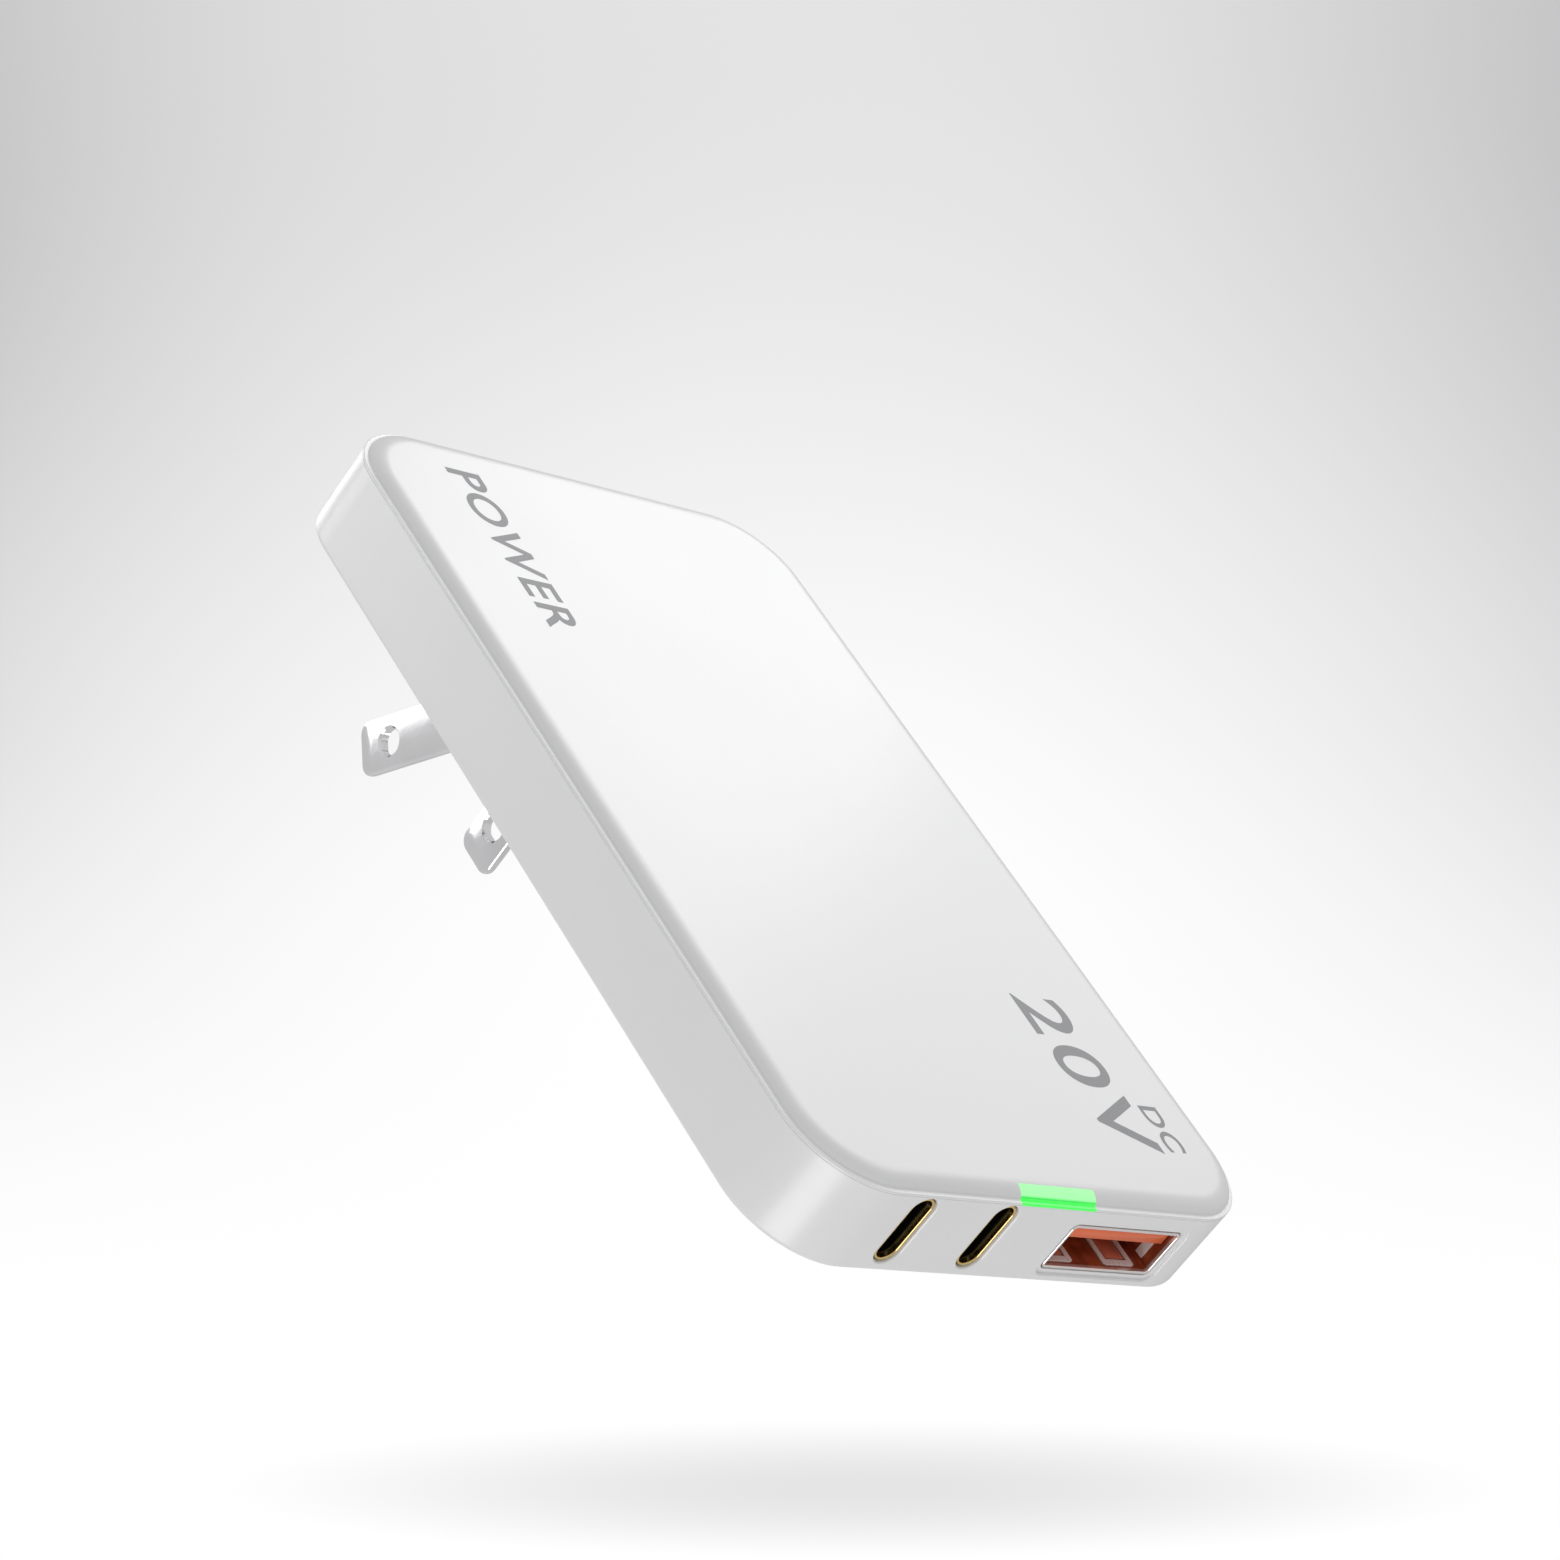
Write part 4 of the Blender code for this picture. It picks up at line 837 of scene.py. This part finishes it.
def blade_skin(prong):
    """A flat blade with a round hole, as a skin that closes on itself both ways.

    Each ring goes once round the blade. The rings start on the hole's wall, cross a face as straight mixes
    of the hole's circle and the outline, turn over the rounded edge and come back across the other face.
    The half thickness is t / 2 - crown (x / half width) squared, and it thins just before the tip.
    """
    half_t, edge, chamfer = prong.thickness / 2, prong.edge_radius, 0.25 * MM
    taper, thinning, ease = 2.0 * MM, 0.42, 1.6
    outline = blade_outline(prong, 0.0)
    hole = np.array([0.0, -prong.hole_distance])
    direction = outline - hole
    direction /= np.linalg.norm(direction, axis=1)[:, None]

    def lifted(plan, height):
        x, y = plan[:, 0], plan[:, 1]
        crown = 1 - (prong.crown / half_t) * (x / (prong.width / 2)) ** 2
        near_tip = np.clip(1 - (y + prong.length) / taper, 0, 1)
        return np.column_stack([height * crown * (1 - thinning * near_tip**ease), x, y])

    wall = hole + direction * prong.hole_radius
    lip = hole + direction * (prong.hole_radius + chamfer)
    flank = [lifted(wall, 0.0), lifted(wall, half_t - chamfer), lifted(lip, half_t)]
    border = blade_outline(prong, edge)
    flank += [lifted(lip + (border - lip) * s, half_t) for s in np.linspace(0.0, 1.0, 9)[1:]]
    for turn in np.linspace(0, np.pi / 2, 6)[1:]:
        rim = blade_outline(prong, edge * (1 - math.sin(turn)))
        flank.append(lifted(rim, half_t - edge * (1 - math.cos(turn))))
    front = np.array(flank)
    back = front[::-1] * (-1, 1, 1)
    return np.concatenate([front, back[:-1]])


def rod_skin(start, end, radius, steps=40):
    """A rod along X, as two circles."""
    turn = np.linspace(0, 2 * np.pi, steps, endpoint=False)
    circle = np.column_stack([np.cos(turn), np.sin(turn)]) * radius
    rings = [np.column_stack([np.full(steps, x), circle + (y, z)]) for x, y, z in (start, end)]
    return closed_skin(np.array(rings))


PIN_HOLE_RADIUS = 1.0 * MM


class ADAPTER_OT_prongs(bpy.types.Operator):
    """Build the two plated blades, each at its own angle on the hinge axis"""

    bl_idname = "adapter.prongs"
    bl_label = "Prongs"

    def execute(self, context):
        prong = context.scene.adapter_prongs
        for side in ("left", "right"):
            joint = HINGES[f"{side}_prong"]
            pivot, angle = joint["pos_m"], -math.radians(joint["range_deg"][0])
            rings = blade_skin(prong)
            turned = turned_about_x(rings.reshape(-1, 3), pivot, angle).reshape(rings.shape)
            blade = new_piece(f"blade_{side}", closed_skin(turned, wrap=True), finish_for("nickel_plate"))
            x, y, z = pivot
            combine(blade, [rod_skin((x - 3 * MM, y, z), (x + 3 * MM, y, z), PIN_HOLE_RADIUS)])
            settle(blade, f"{side}_prong", "nickel_plate", f"prong_{side}")
        return {"FINISHED"}


def shell_profile(wall, mouth, back):
    """(inset, y) pairs of a thin shell: outside, a half-round lip at the mouth, inside, and the back edge."""
    turn = np.linspace(0, np.pi, 11)
    lip = np.column_stack([wall / 2 * (1 - np.cos(turn)), mouth + wall / 2 * (1 - np.sin(turn))])
    middle = (mouth + back) / 2
    return np.vstack([[(0.0, back), (0.0, middle)], lip, [(wall, middle), (wall, back)]])


class ADAPTER_OT_shells(bpy.types.Operator):
    """Build the ports' metal shells with rounded lips"""

    bl_idname = "adapter.shells"
    bl_label = "Port Shells"

    def execute(self, context):
        ports = context.scene.adapter_ports
        for name in PORT_SHELLS:
            low, high = map(np.array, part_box(name))
            half, middle = (high - low) / 2, (low + high)[[0, 2]] / 2
            is_c = name.startswith("usb_c")
            wall, radius = (ports.usb_c_wall, half[0]) if is_c else (ports.usb_a_wall, ports.usb_a_corner)
            profile = shell_profile(wall, low[1], high[1])
            rings = port_rings(half[0], half[2], radius, profile, middle, 14)
            make = gold_shell_finish if is_c else steel_shell_finish
            finish = shared(make.__name__, lambda make=make, mouth=low[1]: make(mouth))
            shell = new_piece(f"{name}_lip", closed_skin(rings, wrap=True), finish)
            settle(shell, "casing", "gold_plate" if is_c else "steel", name)
        return {"FINISHED"}


LETTER_SPACING = 1.1
# name, setting, where it starts, height of its letters, length, and how much bolder its strokes are
MARKS = (
    ("mark_word", "word", (-22.6 * MM, 53.4 * MM), 5.4 * MM, 28.2 * MM, 0.014),
    ("mark_rating", "rating", (15.7 * MM, -27.2 * MM), 8.2 * MM, 23.6 * MM, 0.007),
    ("mark_small", "small", (25.0 * MM, -43.4 * MM), 3.2 * MM, 7.0 * MM, 0.012),
)


def print_text(name, text, start, height, length, weight, thickness):
    """A word printed on the cover that reads towards the ports, with its letters' tops to the right.

    The text is made a mesh, stretched to its height and length, and turned a quarter turn: its width runs
    along -Y and its height along +X.
    """
    curve = bpy.data.curves.new(name, "FONT")
    curve.body = text
    curve.extrude = 0.5
    curve.space_character = LETTER_SPACING
    curve.offset = weight
    holder = bpy.data.objects.new(name, curve)
    bpy.context.scene.collection.objects.link(holder)
    bpy.context.view_layer.update()
    graph = bpy.context.evaluated_depsgraph_get()
    mesh = bpy.data.meshes.new_from_object(holder.evaluated_get(graph))
    bpy.data.objects.remove(holder)
    flat = np.empty(len(mesh.vertices) * 3, np.float32)
    mesh.vertices.foreach_get("co", flat)
    points = flat.reshape(-1, 3).astype(float)
    low, high = points.min(axis=0), points.max(axis=0)
    across, up, lift = ((points - low) / (high - low)).T
    z = BODY_HIGH[2] - thickness * 1.5 * (1 - lift)
    placed = np.column_stack([start[0] + up * height, start[1] - across * length, z])
    mesh.vertices.foreach_set("co", placed.astype(np.float32).ravel())
    mesh.materials.clear()
    mesh.materials.append(shared("ink", ink_finish))
    mesh.update()
    obj = bpy.data.objects.new(name, mesh)
    bpy.context.scene.collection.objects.link(obj)
    settle(obj, "casing", "black_plastic")


def frame_skin(half_x, half_y, radius, bar, low, high, middle):
    """A flat frame: an outer and an inner rounded rectangle, each at two heights, closed on itself."""
    steps = [(0.0, low), (0.0, high), (bar, high), (bar, low)]
    return closed_skin(plan_skin(half_x, half_y, radius, steps, middle, 5), wrap=True)


class ADAPTER_OT_leaves(bpy.types.Operator):
    """Build the spring leaves inside the wide port: two framed leaves on its floor and one on its side"""

    bl_idname = "adapter.leaves"
    bl_label = "Spring Leaves"

    def execute(self, context):
        ports = context.scene.adapter_ports
        low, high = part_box("usb_a_shell")
        mouth, floor = low[1], low[2] + ports.usb_a_wall
        wall = high[0] - ports.usb_a_wall
        pale = leaf_finish("leaf_steel", (0.98, 0.93, 0.91))
        warm = leaf_finish("leaf_warm", (0.62, 0.2, 0.12))
        half_x, half_y, bar, corner = ports.leaf_width / 2, 2.4 * MM, 0.75 * MM, 0.5 * MM
        centre = (low[0] + high[0]) / 2 - 0.8 * MM
        plate = [(0.0, floor + 0.03 * MM), (0.0, floor + 0.1 * MM), (0.08 * MM, floor + 0.14 * MM)]
        for k, offset in enumerate((-ports.leaf_spacing / 2, ports.leaf_spacing / 2), 1):
            middle = (centre + offset, mouth + ports.leaf_start + half_y)
            skin = frame_skin(half_x, half_y, corner, bar, floor + 0.02 * MM, floor + 0.16 * MM, middle)
            settle(new_piece(f"leaf_frame_{k}", skin, pale), "casing", "steel")
            rings = plan_skin(half_x - 1.0 * MM, half_y - 0.95 * MM, 0.3 * MM, plate, middle, 5)
            settle(new_piece(f"leaf_plate_{k}", closed_skin(rings), warm), "casing", "steel")
        near = (wall - 0.16 * MM, mouth + 1.7 * MM, floor + 0.5 * MM)
        far = (wall - 0.03 * MM, mouth + 2.8 * MM, floor + 3.4 * MM)
        settle(new_piece("leaf_side", box_skin(near, far), pale), "casing", "steel")
        return {"FINISHED"}


class ADAPTER_OT_marks(bpy.types.Operator):
    """Print plain generic marks on the cover"""

    bl_idname = "adapter.marks"
    bl_label = "Printed Marks"

    def execute(self, context):
        marks = context.scene.adapter_marks
        for name, setting, start, height, length, weight in MARKS:
            print_text(name, getattr(marks, setting), start, height, length, weight, marks.thickness)
        return {"FINISHED"}


BACKDROP_DISTANCE, BACKDROP_REACH = 1.45, 1.0
FLOOR_HEIGHT, FLOOR_REACH = -0.9, 3.0
AROUND = ((-1, -1), (1, -1), (1, 1), (-1, 1))
SKY_FLOOR, SKY_RISE = 0.42, 0.2
DARK_CARD = (-0.86, 0.32, -0.38)
FAR_CARD = (0.71, 0.56, -0.43)
# name, place, what it points at, width and height, watts
LIGHTS = (
    ("key", (0.34, 0.26, 0.26), (-0.03, 0.0, 0.01), (0.3, 0.3), 0.42),
    ("left_key", (0.19, 0.22, 0.15), (-0.03, 0.03, 0.01), (0.14, 0.14), 0.075),
    ("left_fill", (-0.22, 0.38, -0.12), (-0.03, 0.04, 0), (0.2, 0.2), 0.26),
    ("corner_strip", (-0.42, -0.54, -0.34), (-0.02, -0.04, 0), (0.4, 0.36), 1.5),
    ("far_fill", (0.06, 0.54, -0.18), (-0.03, 0.05, 0), (0.2, 0.2), 0.3),
)


def add_area(name, place, target, size, power):
    data = bpy.data.lights.new(name, "AREA")
    data.shape = "RECTANGLE"
    data.size, data.size_y = size
    data.energy = power
    light = bpy.data.objects.new(name, data)
    light.location = place
    light.rotation_euler = (Vector(place) - Vector(target)).to_track_quat("Z", "Y").to_euler()
    bpy.context.scene.collection.objects.link(light)


def add_camera(scene, stage):
    data = bpy.data.cameras.new("camera")
    data.lens = stage.lens
    data.sensor_width = 36.0
    data.clip_start = 0.01
    data.clip_end = 20.0
    camera = bpy.data.objects.new("camera", data)
    camera.location = stage.camera_place
    camera.rotation_euler = stage.camera_turn
    scene.collection.objects.link(camera)
    scene.camera = camera


def add_sheet(name, corners, material):
    """A flat sheet between four corners."""
    mesh = bpy.data.meshes.new(name)
    mesh.from_pydata([tuple(corner) for corner in corners], [], [(0, 1, 2, 3)])
    mesh.materials.append(material)
    sheet = bpy.data.objects.new(name, mesh)
    bpy.context.scene.collection.objects.link(sheet)
    return sheet


def measured(paint, direction, centre):
    """How far a place lies past the centre along a direction."""
    inputs = {0: paint.place, 1: tuple(direction)}
    along = paint.node("ShaderNodeVectorMath", {"operation": "DOT_PRODUCT"}, inputs, "Value")
    return along - centre.dot(direction)


def add_backdrop(stage):
    """A sheet that faces the camera and glows white, greyer at its top and sides, with a soft shadow."""
    turn = Euler(stage.camera_turn).to_matrix()
    side, up, ahead = Vector(turn.col[0]), Vector(turn.col[1]), -turn.col[2]
    centre = Vector(stage.camera_place) + ahead * BACKDROP_DISTANCE
    dark = {"Roughness": 1.0, "Base_Color": (0, 0, 0, 1), "Specular_IOR_Level": 0.0}
    paint = Paint("backdrop_paper", Emission_Strength=1.0, **dark)
    height, across = measured(paint, up, centre), measured(paint, side, centre)
    grey = height.between(-0.06, 0.26) * 0.22 + across.power(2) * 2.6 * height.between(-0.2, 0.03)
    cloud = (paint.noise(4.0, 1.0, 0.4) - 0.5) * 0.08 * height.between(-0.1, 0.2)
    spread = ((height + 0.258) / 0.026).power(2) + ((across - 0.03) / 0.24).power(2)
    shadow = (1 - spread.clipped()).power(1.5)
    level = 1 - grey - cloud - shadow * 0.22
    material = paint.finish(Emission_Color=paint.mix(level, (0, 0, 0), (1, 1, 1)))
    corners = [centre + (side * a + up * b) * BACKDROP_REACH for a, b in AROUND]
    return add_sheet("backdrop", corners, material)


def add_floor(stage):
    pale = tuple(stage.pale)
    paint = Paint("floor_paper", Roughness=0.9)
    material = paint.finish(Base_Color=paint.mix(paint.noise(40.0, 3.0), lighter(pale, 0.97), pale))
    corners = [(a * FLOOR_REACH, b * FLOOR_REACH, FLOOR_HEIGHT) for a, b in AROUND]
    return add_sheet("floor", corners, material)


def add_sky(scene):
    """A grey sky, lighter upwards, with two dark cards for the glossy sides to mirror."""
    world = bpy.data.worlds.new("studio")
    scene.world = world
    world.use_nodes = True
    sky = Tree(world.node_tree)
    where = sky.node("ShaderNodeTexCoord", {}, {}, "Generated")

    def apart_from(card):
        return sky.node("ShaderNodeVectorMath", {"operation": "DISTANCE"}, {0: where, 1: card}, "Value")

    level = sky.node("ShaderNodeSeparateXYZ", {}, {0: where}, "Z").between(-0.7, 0.8) * SKY_RISE + SKY_FLOOR
    level = level * (apart_from(DARK_CARD).between(0.12, 0.42) * 0.92 + 0.08)
    level = level * (apart_from(FAR_CARD).between(0.08, 0.35) * 0.8 + 0.2)
    colour = sky.node("ShaderNodeCombineXYZ", {}, {0: level, 1: level, 2: level * 1.005})
    world.node_tree.links.new(colour.socket, world.node_tree.nodes["Background"].inputs["Color"])


class ADAPTER_OT_stage(bpy.types.Operator):
    """Set the camera, the pale floor and backdrop, and the soft lights"""

    bl_idname = "adapter.stage"
    bl_label = "Stage"

    def execute(self, context):
        stage = context.scene.adapter_stage
        add_camera(context.scene, stage)
        context.scene.view_settings.view_transform = "Standard"
        backdrop, floor = add_backdrop(stage), add_floor(stage)
        backdrop.visible_glossy = backdrop.visible_diffuse = False
        add_sky(context.scene)
        for light in LIGHTS:
            add_area(*light)
        return {"FINISHED"}


BUILDERS = (
    ADAPTER_OT_finishes,
    ADAPTER_OT_housing,
    ADAPTER_OT_cover,
    ADAPTER_OT_light,
    ADAPTER_OT_prongs,
    ADAPTER_OT_shells,
    ADAPTER_OT_leaves,
    ADAPTER_OT_marks,
    ADAPTER_OT_stage,
)


class ADAPTER_PT_panel(bpy.types.Panel):
    """Lists the adapter's pieces in the sidebar"""

    bl_idname = "ADAPTER_PT_panel"
    bl_label = "Wall Power Adapter"
    bl_space_type = "VIEW_3D"
    bl_region_type = "UI"
    bl_category = "Adapter"

    def draw(self, context):
        for builder in BUILDERS:
            self.layout.operator(builder.bl_idname)


def register():
    for name, group in SETTINGS.items():
        bpy.utils.register_class(group)
        setattr(bpy.types.Scene, name, PointerProperty(type=group))
    for cls in (*BUILDERS, ADAPTER_PT_panel):
        bpy.utils.register_class(cls)


def unregister():
    for cls in reversed((*BUILDERS, ADAPTER_PT_panel)):
        bpy.utils.unregister_class(cls)
    for name, group in SETTINGS.items():
        delattr(bpy.types.Scene, name)
        bpy.utils.unregister_class(group)


def main():
    register()
    for builder in BUILDERS:
        group, action = builder.bl_idname.split(".")
        getattr(getattr(bpy.ops, group), action)()


if __name__ == "__main__":
    main()
